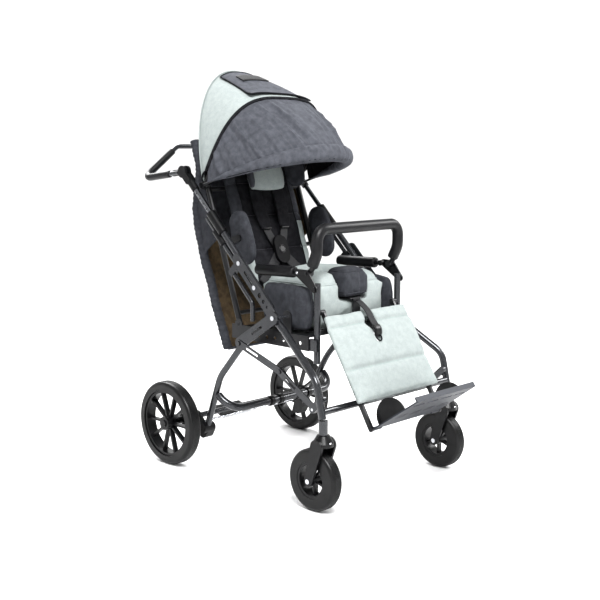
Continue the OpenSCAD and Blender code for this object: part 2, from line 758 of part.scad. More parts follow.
// Canopy bows as [x, distance from the hinge axis], laid in planes turned about the hinge axis
function bow_xr(w, r, n, s) =
  [-w * sign(cos(180 * s)) * pow(abs(cos(180 * s)), 2 / n), r * pow(abs(sin(180 * s)), 2 / n)];
function in_plane(xr, a) = [xr[0], -xr[1] * cos(a), xr[1] * sin(a)];
function front_pt(s, a) = in_plane(bow_xr(front_half_w, canopy_front_r, front_n, s), a);
function mid_pt(s) = in_plane(bow_xr(canopy_half_w, canopy_mid_r, mid_n, s), mid_a);
function rear_pt(s) = in_plane(bow_xr(rear_half_w, canopy_rear_r, rear_n, s), rear_a);
function tail_pt(s) = in_plane(bow_xr(rear_half_w, tail_r, rear_n, s), tail_a);
function ends(s) = bow_low_s + (1 - 2 * bow_low_s) * s;
function shrink(p, t, y) = [p[0] * (1 - t / canopy_half_w), p[1] * (1 - t / canopy_mid_r) - y, p[2] * (1 - t / canopy_mid_r)];
function hang(p, v) = p * (1 + rear_bulge / canopy_mid_r * sin(180 * v));
module on_canopy() translate(p3(0, canopy_p)) children();

rear_cols = 28;
rear_rows = 6;
tail_rows = 3;
function rear_skin(v, s) = v <= 1 ? hang(mid_pt(s) + (rear_pt(s) - mid_pt(s)) * v, v)
  : rear_pt(s) + (tail_pt(s) - rear_pt(s)) * (v - 1);
rear_vs = concat([for (j = [0:rear_rows]) j / rear_rows], [for (j = [1:tail_rows]) 1 + j / tail_rows]);
module canopy_rear() color(c_mint) on_canopy() slab(
  [for (v = rear_vs) for (i = [0:rear_cols]) rear_skin(v, ends(i / rear_cols))],
  [for (v = rear_vs) for (i = [0:rear_cols]) shrink(rear_skin(v, ends(i / rear_cols)), cloth_t, cloth_t * min(1, v))],
  rear_cols, len(rear_vs) - 1);

flap_cols = 10;
flap_rows = 6;
flap_front_share = 0.1;
flap_depth_share = 0.8;
flap_low_s = 0.385;
flap_high_s = 0.66;
function flap_pt(j, i) = rear_skin(flap_front_share + flap_depth_share * j / flap_rows, flap_low_s + (flap_high_s - flap_low_s) * i / flap_cols);
module canopy_flap() color(c_suede) on_canopy() slab(
  [for (j = [0:flap_rows]) for (i = [0:flap_cols]) shrink(flap_pt(j, i), -cloth_t - gap, 0)],
  [for (j = [0:flap_rows]) for (i = [0:flap_cols]) shrink(flap_pt(j, i), -gap, 0)],
  flap_cols, flap_rows);

bow_bend_r = 150;
bow_in = 20;
bow_top_x = 204;
module canopy_mid_bow() color(c_black) on_canopy() difference() {
  union() {
    rotate([-mid_a, 0, 0]) bent([[-mid_bow_x, 0, 0], [-bow_top_x, -canopy_mid_r + bow_in, 0],
      [bow_top_x, -canopy_mid_r + bow_in, 0], [mid_bow_x, 0, 0]], mid_bow_d, bow_bend_r);
    both() cross_rod([0, 0], mid_bow_x - mid_bow_d / 2 - gap / 2, mid_bow_x + mid_bow_d / 2 + gap / 2, washer_d);
  }
  both() cross_rod([0, 0], 0, front_bow_x + washer_d, bolt_d - tuck + 2 * run);
}

front_low_share = 0.06;
front_span_share = 0.932;
front_cols = 56;
front_rows = 4;
function front_skin(v, s) =
  let (p = front_pt(s, brim_top_a) + (mid_pt(s) - front_pt(s, brim_top_a)) * (front_low_share + front_span_share * v),
       k = (fold_depth * sin(360 * fold_count * s) + front_bulge * sin(180 * s)) * sin(180 * v))
  p * (1 + k / canopy_mid_r);
module canopy_front() color(c_suede) on_canopy() slab(
  [for (j = [0:front_rows]) for (i = [0:front_cols]) front_skin(j / front_rows, ends(i / front_cols))],
  [for (j = [0:front_rows]) for (i = [0:front_cols]) shrink(front_skin(j / front_rows, ends(i / front_cols)), cloth_t, 0)],
  front_cols, front_rows);

brim_cols = 36;
brim_rows = 4;
brim_start_share = 0.09;
function brim_s(i) = brim_start_share + (1 - 2 * brim_start_share) * i / brim_cols;
function brim_pt(j, i, t) =
  let (v = j / brim_rows, p = front_pt(brim_s(i), brim_low_a + (brim_top_a - 1 - brim_low_a) * v),
       puff = t * sin(180 * v) / 3)
  shrink(p, t + puff * (t > 0 ? 1 : 0) - brim_t / 4 * sin(180 * v) * (t > 0 ? 0 : 1), 0);
// The arms of the front bow stop just behind the padded band
brim_end = brim_pt(0, 0, brim_t);
arm_seat = 1;
arm_end_r = norm([brim_end[1], brim_end[2]]) + arm_seat;
arm_end_x = (brim_pt(0, 0, 0)[0] + brim_end[0]) / 2;
module front_bow_arms() difference() {
  union() {
    rotate([-(brim_low_a + brim_top_a) / 2, 0, 0]) both() bent([[front_bow_x, 0, 0], [front_bow_x, -arm_end_r / 2, 0],
      [-arm_end_x, -arm_end_r, 0]], mid_bow_d, washer_d);
    both() cross_rod([0, 0], front_bow_x - mid_bow_d / 2 - gap / 2, front_bow_x + mid_bow_d / 2 + gap / 2, washer_d);
  }
  both() cross_rod([0, 0], 0, front_bow_x + washer_d, bolt_d - tuck + 2 * run);
}
module canopy_brim() on_canopy() {
  color(c_black) front_bow_arms();
  color(c_suede) brim_band();
}
module brim_band() slab(
  [for (j = [0:brim_rows]) for (i = [0:brim_cols]) brim_pt(j, i, 0)],
  [for (j = [0:brim_rows]) for (i = [0:brim_cols]) brim_pt(j, i, brim_t)],
  brim_cols, brim_rows);

// Bumper bar and armrests
bump_pts = [p3(-bump_x, bump_pin_p), p3(-bump_x, bump_leg_p), [-bump_x, bump_leg_p[0], bumper_z],
  [bump_x, bump_leg_p[0], bumper_z], p3(bump_x, bump_leg_p), p3(bump_x, bump_pin_p)];
foam_start = 18;
module bumper_tube() color(c_black) {
  bent(bump_pts, bump_tube_d, bump_bend_r);
  both() cross_rod(bump_pin_p, bump_x, bracket_x + plate_t + head_h, bolt_d);
  both() cross_rod(bump_pin_p, bump_x - bump_tube_d / 2 - tuck, bracket_x - gap, bump_tube_d + 2 * tuck);
}

module bumper_foam() color(c_rubber)
  bent([[-bump_x, bump_leg_p[0], bump_leg_p[1] + foam_start], [-bump_x, bump_leg_p[0], bumper_z],
    [bump_x, bump_leg_p[0], bumper_z], [bump_x, bump_leg_p[0], bump_leg_p[1] + foam_start]], foam_d, bump_bend_r,
    bump_tube_d + 2 * fit);

arm_end_p = arm_pin_p + [arm_l, -arm_drop];
arm_foam_share = 0.12;
arm_cap = 6;
module armrest() {
  color(c_metal) rod(p3(arm_x0, arm_pin_p), p3(arm_x0, arm_end_p), arm_tube_d);
  color(c_metal) cross_rod(arm_pin_p, arm_x0, bracket_x + plate_t + head_h, bolt_d);
  color(c_metal) cross_rod(arm_pin_p, arm_x0 - arm_tube_d / 2 - tuck, bracket_x - gap, arm_tube_d + 2 * tuck);
  color(c_rubber) difference() {
    rod(mid(p3(arm_x0, arm_pin_p), p3(arm_x0, arm_end_p), arm_foam_share), p3(arm_x0, arm_end_p + [arm_cap, 0]), foam_d);
    rod(p3(arm_x0, arm_pin_p), p3(arm_x0, arm_end_p + [fit, 0]), arm_tube_d + 2 * fit);
  }
}
module armrest_left() armrest();
module armrest_right() mirror([1, 0, 0]) armrest();

// Leg rest and footplate
module legrest_frame() color(c_black) {
  both() difference() {
    union() {
      side_view(bar_x, bar_w) bar2d(on_leg(0, 0), on_leg(shin_l, 0), bar_d);
      cross_rod(leg_hinge_p, bar_x, post_x - post_d / 2 - gap, hinge_d);
      cross_rod(leg_hinge_p, bar_x, post_x - over, hinge_d / 2);
    }
    cross_rod(on_leg(shin_l, 0), bar_x - over, bar_x + bar_w + over, foot_hinge_d / 2 + 2 * run);
  }
  cross_rod(on_leg(calf_l * 2 / 3, 0), -bar_x, bar_x, bar_d - fit);
  cross_rod(on_leg(calf_l / 2, 0), -bar_x, bar_x, bar_d - fit);
}

calf_seams = [-0.25, 0.66];
calf_cols = 12;
calf_rows = 16;
module calf_pad() color(c_mint) difference() {
  lean(on_leg(calf_start + calf_l / 2, calf_back + calf_t / 2), leg_slope)
    pad([calf_w, calf_l, calf_t], square_round_share, calf_seams, calf_cols, calf_rows);
  lean(on_leg(calf_start, calf_back - calf_t), leg_slope)
    linear_extrude(height = 3 * calf_t) {
      translate([-key_w / 2, -key_w]) square([key_w, key_w + calf_t]);
      translate([0, -key_w]) circle(d = key_w);
      translate([-key_slot_w / 2, -key_l]) square([key_slot_w, key_l]);
      translate([0, -key_l]) circle(d = key_slot_w);
    }
}

module guard2d() intersection() {
  translate([guard_r, 0]) circle(r = guard_r);
  square([2 * guard_r, guard_r + over]);
}
module on_plate() translate(p3(0, on_leg(shin_l, 0))) rotate([-leg_slope - foot_tilt, 0, 0]) rotate([0, 0, 180]) children();
module heel_guards() color(c_metal) on_plate() both() translate([guard_x, guard_start, foot_t / 2 + fit])
  rotate([90, 0, 90]) linear_extrude(height = plate_t) guard2d();

// The plate is drawn flat: x across, y from the heel to the toes, then turned to its slope
big_slot_share = 0.78;
small_slot_shares = [0.34, 0.42];
slot_pitch = 64;
slot_places = [-1.5, -0.5, 0.5, 1.5];
module footplate() color(c_metal) on_plate() {
  translate([0, 0, -foot_t / 2]) linear_extrude(height = foot_t) difference() {
    polygon([[-footplate_w / 2, 0], [footplate_w / 2, 0], [lip_w / 2, footplate_l], [-lip_w / 2, footplate_l]]);
    for (i = slot_places) translate([i * slot_pitch - slot_big[0] / 2, footplate_l * big_slot_share]) square(slot_big);
    for (i = slot_places) for (k = small_slot_shares)
      translate([i * slot_pitch - slot_small[0] / 2, footplate_l * k]) square(slot_small);
  }
  translate([-lip_w / 2, footplate_l - foot_t, -foot_t / 2]) cube([lip_w, foot_t, lip_h]);
  both() rotate([0, 90, 0]) translate([0, 0, footplate_w / 2 - foot_hinge_d * 3])
    cylinder(d = foot_hinge_d, h = bar_x - gap - footplate_w / 2 + foot_hinge_d * 3);
  both() rotate([0, 90, 0]) translate([0, 0, footplate_w / 2 - foot_hinge_d])
    cylinder(d = foot_hinge_d / 2, h = bar_x + bar_w - footplate_w / 2 + foot_hinge_d);
}

// Rear frame
fold_slot_shares = [0.35, 0.6];
module fold_plates() color(c_metal) both() {
  side_view(fold_x, plate_t) difference() {
    bar2d(fold_p, stay_c, side_plate_w);
    translate(fold_p) circle(d = pin_d + 2 * run);
    translate(stay_c) circle(d = bolt_d + 2 * fit);
    bar2d(mid(fold_p, stay_c, fold_slot_shares[0]), mid(fold_p, stay_c, fold_slot_shares[1]), slot_w);
  }
  cross_bolt(stay_c, frame_x + fit, stay_x + stay_t + gap, bolt_d);
}

rear_pts = [p3(frame_x, stay_c), p3(frame_x, rear_knee_p), p3(rear_low_x, rear_low_p)];
module rear_legs() color(c_metal) both() {
  difference() {
    bent(rear_pts, rear_leg_d, rear_bend_r);
    cross_rod(stay_c, 0, frame_x + rear_leg_d, bolt_d + 2 * fit);
  }
  difference() {
    cross_rod(stay_c, frame_x, fold_x - fit, washer_d);
    cross_rod(stay_c, 0, frame_x + rear_leg_d * 2, bolt_d + 2 * fit);
    bent(rear_pts, rear_leg_d + 2 * fit, rear_bend_r);
  }
}

module u_tube() {
  color(c_metal) bent([p3(-u_start_x, u_start_p), p3(-u_start_x, u_run_p), p3(u_start_x, u_run_p),
    p3(u_start_x, u_start_p)], u_tube_d, u_bend_r);
  color(c_black) for (x = ring_xs) difference() {
    cross_rod(u_run_p, x - ring_w / 2, x + ring_w / 2, ring_d);
    cross_rod(u_run_p, x - ring_w, x + ring_w, u_tube_d + 2 * fit);
  }
}

module rear_cross_tube() color(c_metal)
  cross_rod(rear_cross_p, -arm_x + fit, arm_x - fit, rear_cross_d);

spacer_d = 24;
foot_v = [10, -18];
module axle_arms() {
  color(c_black) both() difference() {
    union() {
      side_view(arm_x, arm_t) {
        bar2d(rear_low_p, rear_axle_p, arm_w);
        bar2d(rear_axle_p, rear_cross_p, arm_w);
        bar2d(rear_cross_p, rear_low_p, arm_w);
      }
      side_view(rear_low_x - rear_leg_d, arm_x - rear_low_x + rear_leg_d + over)
        bar2d(rear_low_p, rear_low_p + foot_v, arm_w);
      cross_rod(rear_axle_p, arm_x + arm_t - over, rear_x - hub_w / 2 - gap, spacer_d);
    }
    bent(rear_pts, rear_leg_d + 2 * fit, rear_bend_r);
    cross_rod(rear_axle_p, 0, rear_track, axle_d + 2 * fit);
    cross_rod(rear_cross_p, 0, arm_x, rear_cross_d + 2 * fit);
  }
  color(c_steel) both() cross_rod(rear_axle_p, arm_x, rear_x + hub_w / 2 + gap, axle_d);
  color(c_steel) both() cross_rod(rear_axle_p, rear_x + hub_w / 2 + gap, rear_x + hub_w / 2 + head_h, washer_d);
}

// Stays: the upper links hang from the rear frame, the lower links from the front legs
stay_slot_shares = [0.2, 0.45];
module upper_stays() color(c_metal) both() side_view(stay_x, stay_t) difference() {
  bar2d(stay_c, stay_m, stay_w);
  translate(stay_c) circle(d = bolt_d + 2 * run);
  bar2d(mid(stay_c, stay_m, stay_slot_shares[0]), mid(stay_c, stay_m, stay_slot_shares[1]), slot_w);
}

module lower_stays() color(c_metal) both() {
  side_view(stay_out_x, stay_t) difference() {
    bar2d(stay_m, stay_b, stay_w);
    translate(stay_b) circle(d = bolt_d + 2 * run);
    bar2d(mid(stay_m, stay_b, stay_slot_shares[0]), mid(stay_m, stay_b, stay_slot_shares[1]), slot_w);
  }
  cross_rod(stay_m, stay_out_x + stay_t - fit, stay_out_x + stay_t + head_h, head_d);
}

rod_clamp_d = 22;
rod_low_drop = 55;
module lock_rods() color(c_metal) both() difference() {
  union() {
    rod(p3(frame_x, on_push(clamp_t, lock_off)), p3(frame_x, on_push(sleeve_top_t, lock_off)), lock_d);
    bent([p3(frame_x, on_push(clamp_t, rod_off)), p3(frame_x, on_push(rod_bend_t, rod_off)),
      p3(frame_x, on_push(rod_bend_t, rod_off) + [0, -rod_low_drop])], lock_d, rod_clamp_d);
    side_view(frame_x - lock_d / 2 - over, lock_d + 2 * over)
      bar2d(on_push(clamp_t, lock_off), on_push(clamp_t, rod_off), rod_clamp_d);
  }
}

module brake_pedal() {
  color(c_steel) cross_rod(brake_p, -arm_x + gap, arm_x - gap, brake_d);
  color(c_black) difference() {
    translate([pedal_x, 0, 0]) side_view(-pedal_w / 2, pedal_w)
      bar2d(brake_p + [tuck, 0], brake_p + [pedal_l, pedal_l / 3], pedal_t + tuck);
    cross_rod(brake_p, -arm_x, arm_x, brake_d + 2 * fit);
  }
}

// Wheels
rim_d_share = 0.8;
tyre_round = 11;
rim_d = rear_wheel_d * rim_d_share;
rim_t = 9;
hub_d = 44;
spoke_t = 7;
spoke_w = 16;
spoke_open = 17;
module rear_tyre() color(c_rubber) rotate([0, 90, 0]) rotate_extrude() {
  translate([rim_d / 2 + fit, -rear_tyre_w / 2 + tyre_round]) square([rear_r - rim_d / 2 - fit, rear_tyre_w - 2 * tyre_round]);
  translate([rim_d / 2 + fit, -rear_tyre_w / 2]) square([rear_r - rim_d / 2 - fit - tyre_round, rear_tyre_w]);
  for (s = [-1, 1]) translate([rear_r - tyre_round, s * (rear_tyre_w / 2 - tyre_round)]) circle(r = tyre_round);
}
rim_w_share = 0.82;
rim_w = rear_tyre_w * rim_w_share;
module rear_rim() color(c_black) rotate([0, 90, 0]) difference() {
  union() {
    difference() {
      translate([0, 0, -rim_w / 2]) cylinder(d = rim_d, h = rim_w);
      translate([0, 0, -rim_w]) cylinder(d = rim_d - 2 * rim_t, h = 2 * rim_w);
    }
    translate([0, 0, -hub_w / 2]) cylinder(d = hub_d, h = hub_w);
    for (i = [0:rear_spokes - 1]) for (s = [-1, 1]) rotate(i * 360 / rear_spokes + s * spoke_open)
      translate([hub_d / 4, -spoke_t / 2, -spoke_w / 2]) cube([rim_d / 2 - rim_t / 2 - hub_d / 4, spoke_t, spoke_w]);
  }
  translate([0, 0, -hub_w]) cylinder(d = axle_d + 2 * run, h = 2 * hub_w);
}
module at_rear(s) translate([s * rear_x, 0, rear_r]) children();
module rear_tyre_left() at_rear(1) rear_tyre();
module rear_tyre_right() at_rear(-1) rear_tyre();
module rear_rim_left() at_rear(1) rear_rim();
module rear_rim_right() at_rear(-1) rear_rim();

// Casters
fork_gap = 3.5;
fork_t = 7;
fork_half = caster_w / 2 + fork_gap;
crown_z = 192;
crown_d = 44;
crown_top_d = 36;
axle_boss_d = 30;
caster_y = -stem_reach + caster_trail;
fork_top_z = socket_low_z - gap * 2;
module caster_fork() color(c_black) difference() {
  union() {
    hull() {
      translate([0, -stem_reach, crown_z]) cylinder(d = crown_top_d, h = fork_top_z - crown_z, $fn = 32);
      translate([0, -stem_reach, crown_z]) cylinder(d = 2 * (fork_half + fork_t), h = (fork_top_z - crown_z) / 3, $fn = 32);
    }
    for (s = [-1, 1]) hull() {
      translate([s * (fork_half + fork_t / 2) - fork_t / 2, -stem_reach, crown_z]) rotate([0, 90, 0])
        cylinder(d = crown_d, h = fork_t, $fn = 32);
      translate([s * (fork_half + fork_t / 2) - fork_t / 2, caster_y, caster_r]) rotate([0, 90, 0])
        cylinder(d = axle_boss_d, h = fork_t, $fn = 32);
    }
  }
  translate([-fork_half, caster_y, caster_r]) rotate([0, 90, 0]) cylinder(r = caster_r + fork_gap, h = 2 * fork_half);
  translate([-caster_w * 2, caster_y, caster_r]) rotate([0, 90, 0]) cylinder(d = bolt_d + 2 * fit, h = caster_w * 4);
  translate([0, -stem_reach, crown_z - crown_d]) cylinder(d = stem_d + 2 * fit, h = crown_d * 3);
}
module caster_bolt_set() color(c_steel) {
  translate([0, -stem_reach, crown_z + fork_gap]) cylinder(d = stem_d, h = socket_top_z - crown_z - fork_gap);
  translate([-fork_half - fork_t, caster_y, caster_r]) rotate([0, 90, 0]) cylinder(d = bolt_d, h = 2 * (fork_half + fork_t));
  for (s = [-1, 1]) translate([s * (fork_half + fork_t) - (s < 0 ? head_h : 0), caster_y, caster_r]) rotate([0, 90, 0])
    cylinder(d = head_d, h = head_h);
}
caster_rim_share = 0.6;
caster_rim_d = caster_d * caster_rim_share;
module caster_wheel() {
  color(c_rubber) translate([0, caster_y, caster_r]) rotate([0, 90, 0]) rotate_extrude() {
    translate([caster_rim_d / 2 + fit, -caster_w / 2]) square([caster_r - caster_rim_d / 2 - fit - tyre_round, caster_w]);
    translate([caster_rim_d / 2 + fit, -caster_w / 2 + tyre_round])
      square([caster_r - caster_rim_d / 2 - fit, caster_w - 2 * tyre_round]);
    for (s = [-1, 1]) translate([caster_r - tyre_round, s * (caster_w / 2 - tyre_round)]) circle(r = tyre_round);
  }
  color(c_black) translate([0, caster_y, caster_r]) rotate([0, 90, 0]) difference() {
    union() {
      difference() {
        translate([0, 0, -caster_w / 2 + over]) cylinder(d = caster_rim_d, h = caster_w - 2 * over);
        translate([0, 0, -caster_w]) cylinder(d = caster_rim_d - 2 * rim_t, h = 2 * caster_w);
      }
      translate([0, 0, -caster_w / 2]) cylinder(d = axle_boss_d, h = caster_w);
      for (i = [0:rear_spokes - 1]) rotate(i * 360 / rear_spokes)
        translate([0, -spoke_t / 2, -spoke_w / 2]) cube([caster_rim_d / 2 - rim_t / 2, spoke_t, spoke_w]);
    }
    translate([0, 0, -caster_w]) cylinder(d = bolt_d + 2 * run, h = 2 * caster_w);
  }
}
module at_stem(s) translate([s * stem_x, 0, 0]) children();
module caster_fork_left() at_stem(1) caster_fork();
module caster_fork_right() at_stem(-1) caster_fork();
module caster_wheel_left() at_stem(1) caster_wheel();
module caster_wheel_right() at_stem(-1) caster_wheel();
module caster_bolts_left() at_stem(1) caster_bolt_set();
module caster_bolts_right() at_stem(-1) caster_bolt_set();

// Every part in its place
module placed() translate([0, axle_y, 0]) children();
placed() front_legs();
placed() side_plates();
placed() main_tubes();
placed() sleeves();
placed() frame_bolts();
placed() front_cross_tube();
placed() seat_frame();
placed() seat_cushion();
placed() side_pad_left();
placed() side_pad_right();
placed() front_posts();
placed() arm_brackets();
placed() abductor_block();
placed() abductor_arm();
placed() upper_tubes();
placed() tilt_knuckles();
placed() handle_bar();
placed() handle_grips();
placed() back_frame();
placed() back_cushion();
placed() back_pouch();
placed() lateral_pads();
placed() back_fittings();
placed() harness_straps();
placed() harness_buckle();
placed() buckle_button();
placed() headrest_pad();
placed() headrest_wings();
placed() canopy_rear();
placed() canopy_flap();
placed() canopy_mid_bow();
placed() canopy_front();
placed() canopy_brim();
placed() bumper_tube();
placed() bumper_foam();
placed() armrest_left();
placed() armrest_right();
placed() legrest_frame();
placed() calf_pad();
placed() heel_guards();
placed() footplate();
placed() fold_plates();
placed() rear_legs();
placed() u_tube();
placed() rear_cross_tube();
placed() axle_arms();
placed() upper_stays();
placed() lower_stays();
placed() lock_rods();
placed() brake_pedal();
placed() rear_rim_left();
placed() rear_rim_right();
placed() rear_tyre_left();
placed() rear_tyre_right();
placed() caster_fork_left();
placed() caster_fork_right();
placed() caster_wheel_left();
placed() caster_wheel_right();
placed() caster_bolts_left();
placed() caster_bolts_right();
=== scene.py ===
"""Looks of a special needs buggy: sewn pads, canopy, harness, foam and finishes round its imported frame."""

import json
import math

import bmesh
import bpy
import numpy as np
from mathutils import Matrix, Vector, noise
from mathutils.bvhtree import BVHTree


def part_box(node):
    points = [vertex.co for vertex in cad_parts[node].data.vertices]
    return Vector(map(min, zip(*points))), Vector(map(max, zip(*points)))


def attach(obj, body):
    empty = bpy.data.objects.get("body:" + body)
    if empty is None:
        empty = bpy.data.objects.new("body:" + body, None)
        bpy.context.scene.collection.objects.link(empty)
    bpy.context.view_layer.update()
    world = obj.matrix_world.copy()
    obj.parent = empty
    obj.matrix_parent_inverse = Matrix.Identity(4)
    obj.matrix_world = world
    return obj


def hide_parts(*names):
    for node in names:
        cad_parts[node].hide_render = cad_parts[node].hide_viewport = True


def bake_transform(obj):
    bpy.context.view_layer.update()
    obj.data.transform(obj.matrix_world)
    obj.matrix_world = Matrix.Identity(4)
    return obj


bl_info = {
    "name": "Special Needs Buggy",
    "version": (1, 0, 0),
    "blender": (4, 5, 0),
    "location": "View3D > Sidebar > Buggy",
    "description": "Sews the pads and canopy of a folding buggy and finishes its frame",
    "category": "Object",
}

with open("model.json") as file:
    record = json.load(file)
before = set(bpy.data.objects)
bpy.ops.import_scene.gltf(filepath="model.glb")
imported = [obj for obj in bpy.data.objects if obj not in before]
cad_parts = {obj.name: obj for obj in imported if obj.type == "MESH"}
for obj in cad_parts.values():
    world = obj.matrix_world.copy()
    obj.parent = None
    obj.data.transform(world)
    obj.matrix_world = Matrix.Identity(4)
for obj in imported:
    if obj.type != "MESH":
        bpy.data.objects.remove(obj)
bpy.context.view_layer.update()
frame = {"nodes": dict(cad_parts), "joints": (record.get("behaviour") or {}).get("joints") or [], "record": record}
NODES = frame["nodes"]
JOINTS = {j["name"]: j for j in frame["joints"]}
MM = 0.001

SIDES = (("left", 1), ("right", -1))


def pivot(joint):
    return np.array(JOINTS[joint]["pos_m"])


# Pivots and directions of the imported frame, in metres
AXLE = pivot("wheel_left_spin")
BACK = pivot("back_recline")
BACK_UP = np.array(JOINTS["headrest_height"]["axis"])
BACK_OUT = np.array([0.0, BACK_UP[2], -BACK_UP[1]])
HOOD = pivot("canopy_brim_turn")
KNEE = pivot("leg_raise")
ANKLE = pivot("foot_flip")
SHIN = (ANKLE - KNEE) / np.linalg.norm(ANKLE - KNEE)
SHIN_FRONT = np.array([0.0, SHIN[2], -SHIN[1]])
ACROSS = np.array([1.0, 0.0, 0.0])
UPRIGHT = np.array([0.0, 0.0, 1.0])

# Back cushion: where its rear face lies and how thick it is, in millimetres
CUSHION_REAR = 7.4
CUSHION_T = 34
CUSHION_FACE = -CUSHION_REAR - CUSHION_T


def on_back(e, m, x=0.0):
    """A point up the backrest by e and out to the rear by m, in millimetres."""
    return BACK + (BACK_UP * e + BACK_OUT * m + ACROSS * x) * MM


def on_shin(s, n, x=0.0):
    """A point down the leg rest by s and out to the front by n, in millimetres."""
    return KNEE + (SHIN * s + SHIN_FRONT * n + ACROSS * x) * MM


def from_axle(x, y, z):
    """A point given from the rear axle and the floor, in millimetres."""
    return np.array([x * MM, AXLE[1] + y * MM, z * MM])


class BuggyCloth(bpy.types.PropertyGroup):
    """Colours of the cloth."""

    mint: bpy.props.FloatVectorProperty(
        name="Mint suede", description="Light suede of the cushions and rear hood",
        subtype="COLOR", size=3, min=0, max=1, default=(0.352, 0.388, 0.382))
    mint_shade: bpy.props.FloatVectorProperty(
        name="Mint shade", description="Mint suede where its nap lies the other way",
        subtype="COLOR", size=3, min=0, max=1, default=(0.312, 0.348, 0.342))
    slate: bpy.props.FloatVectorProperty(
        name="Slate suede", description="Dark suede of the pads, pouch and front hood",
        subtype="COLOR", size=3, min=0, max=1, default=(0.088, 0.092, 0.106))
    slate_shade: bpy.props.FloatVectorProperty(
        name="Slate shade", description="Slate suede where its nap lies the other way",
        subtype="COLOR", size=3, min=0, max=1, default=(0.058, 0.061, 0.071))
    lining: bpy.props.FloatVectorProperty(
        name="Pouch lining", description="Tan lining inside the back pouch",
        subtype="COLOR", size=3, min=0, max=1, default=(0.1, 0.072, 0.042))


class BuggySewing(bpy.types.PropertyGroup):
    """Sizes of the sewn work."""

    grain: bpy.props.FloatProperty(
        name="Pad mesh", description="Mesh size of the stuffed pads",
        unit="LENGTH", default=0.0052, min=0.004, max=0.008)
    fill: bpy.props.FloatProperty(
        name="Filling", description="Pressure of the pads' filling", default=4.0, min=0, max=10)
    seam: bpy.props.FloatProperty(
        name="Seam depth", description="How far a sewn channel draws the cloth in",
        unit="LENGTH", default=0.0045, min=0, max=0.012)
    pitch: bpy.props.FloatProperty(
        name="Stitch pitch", description="Distance from one stitch to the next",
        unit="LENGTH", default=0.0042, min=0.002, max=0.01)
    piping: bpy.props.FloatProperty(
        name="Piping", description="Radius of the sewn-in piping cord",
        unit="LENGTH", default=0.0024, min=0.001, max=0.005)
    folds: bpy.props.IntProperty(
        name="Hood folds", description="Main gathers across the front hood", default=14, min=0, max=40)
    fold_depth: bpy.props.FloatProperty(
        name="Fold depth", description="Depth of the front hood's main gathers",
        unit="LENGTH", default=0.0085, min=0, max=0.012)


class BuggyStage(bpy.types.PropertyGroup):
    """Floor, light and camera."""

    floor: bpy.props.FloatVectorProperty(
        name="Floor", description="Colour of the studio floor",
        subtype="COLOR", size=3, min=0, max=1, default=(0.9, 0.9, 0.9))
    sky: bpy.props.FloatProperty(
        name="Studio light", description="Strength of the even light all round", default=0.55, min=0, max=5)
    key: bpy.props.FloatProperty(
        name="Key light", description="Power of the large soft light",
        unit="POWER", default=230, min=0, max=1000)
    lens: bpy.props.FloatProperty(
        name="Lens", description="Focal length on a 36 mm sensor",
        unit="CAMERA", default=61.44, min=20, max=200)


# Materials

class Finish:
    """A node material with the few nodes that every finish needs."""

    def __init__(self, name):
        self.mat = bpy.data.materials.new(name)
        self.mat.use_nodes = True
        self.tree = self.mat.node_tree
        self.skin = self.tree.nodes["Principled BSDF"]
        self.place = self.add("ShaderNodeTexCoord").outputs["Object"]

    def add(self, kind, **values):
        made = self.tree.nodes.new(kind)
        for key, value in values.items():
            if hasattr(made, key):
                setattr(made, key, value)
            else:
                made.inputs[key].default_value = value
        return made

    def join(self, a, b):
        self.tree.links.new(a, b)

    def grain(self, scale, detail=3.0, stretch=None):
        made = self.add("ShaderNodeTexNoise", Scale=scale, Detail=detail)
        if stretch:
            lay = self.add("ShaderNodeMapping")
            lay.inputs["Scale"].default_value = stretch
            self.join(self.place, lay.inputs["Vector"])
            self.join(lay.outputs["Vector"], made.inputs["Vector"])
        else:
            self.join(self.place, made.inputs["Vector"])
        return made.outputs["Fac"]

    def ramp(self, source, low, high, start=0.35, end=0.65):
        made = self.add("ShaderNodeValToRGB")
        first, last = made.color_ramp.elements
        first.position, last.position = start, end
        first.color, last.color = (*low, 1), (*high, 1)
        self.join(source, made.inputs["Fac"])
        return made.outputs["Color"]

    def range(self, source, low, high):
        made = self.add("ShaderNodeMapRange")
        made.inputs["To Min"].default_value = low
        made.inputs["To Max"].default_value = high
        self.join(source, made.inputs["Value"])
        return made.outputs["Result"]

    def blend(self, a, b, share, mode="MULTIPLY"):
        made = self.add("ShaderNodeMix", data_type="RGBA", blend_type=mode)
        made.inputs["Factor"].default_value = share
        self.join(a, made.inputs["A"])
        self.join(b, made.inputs["B"])
        return made.outputs["Result"]

    def raise_by(self, height, strength, distance, under=None):
        made = self.add("ShaderNodeBump")
        made.inputs["Strength"].default_value = strength
        made.inputs["Distance"].default_value = distance
        self.join(height, made.inputs["Height"])
        if under is not None:
            self.join(under, made.inputs["Normal"])
        return made.outputs["Normal"]

    def done(self, colour, rough, normal, **sockets):
        self.join(colour, self.skin.inputs["Base Color"])
        self.join(rough, self.skin.inputs["Roughness"])
        self.join(normal, self.skin.inputs["Normal"])
        for key, value in sockets.items():
            self.skin.inputs[key.replace("_", " ")].default_value = value
        return self.mat


def made_once(recipe):
    """Makes each named finish once and hands the same one out after that."""
    made = {}

    def finish(name, *values, **named):
        if name not in made:
            made[name] = recipe(name, *values, **named)
        return made[name]
    return finish


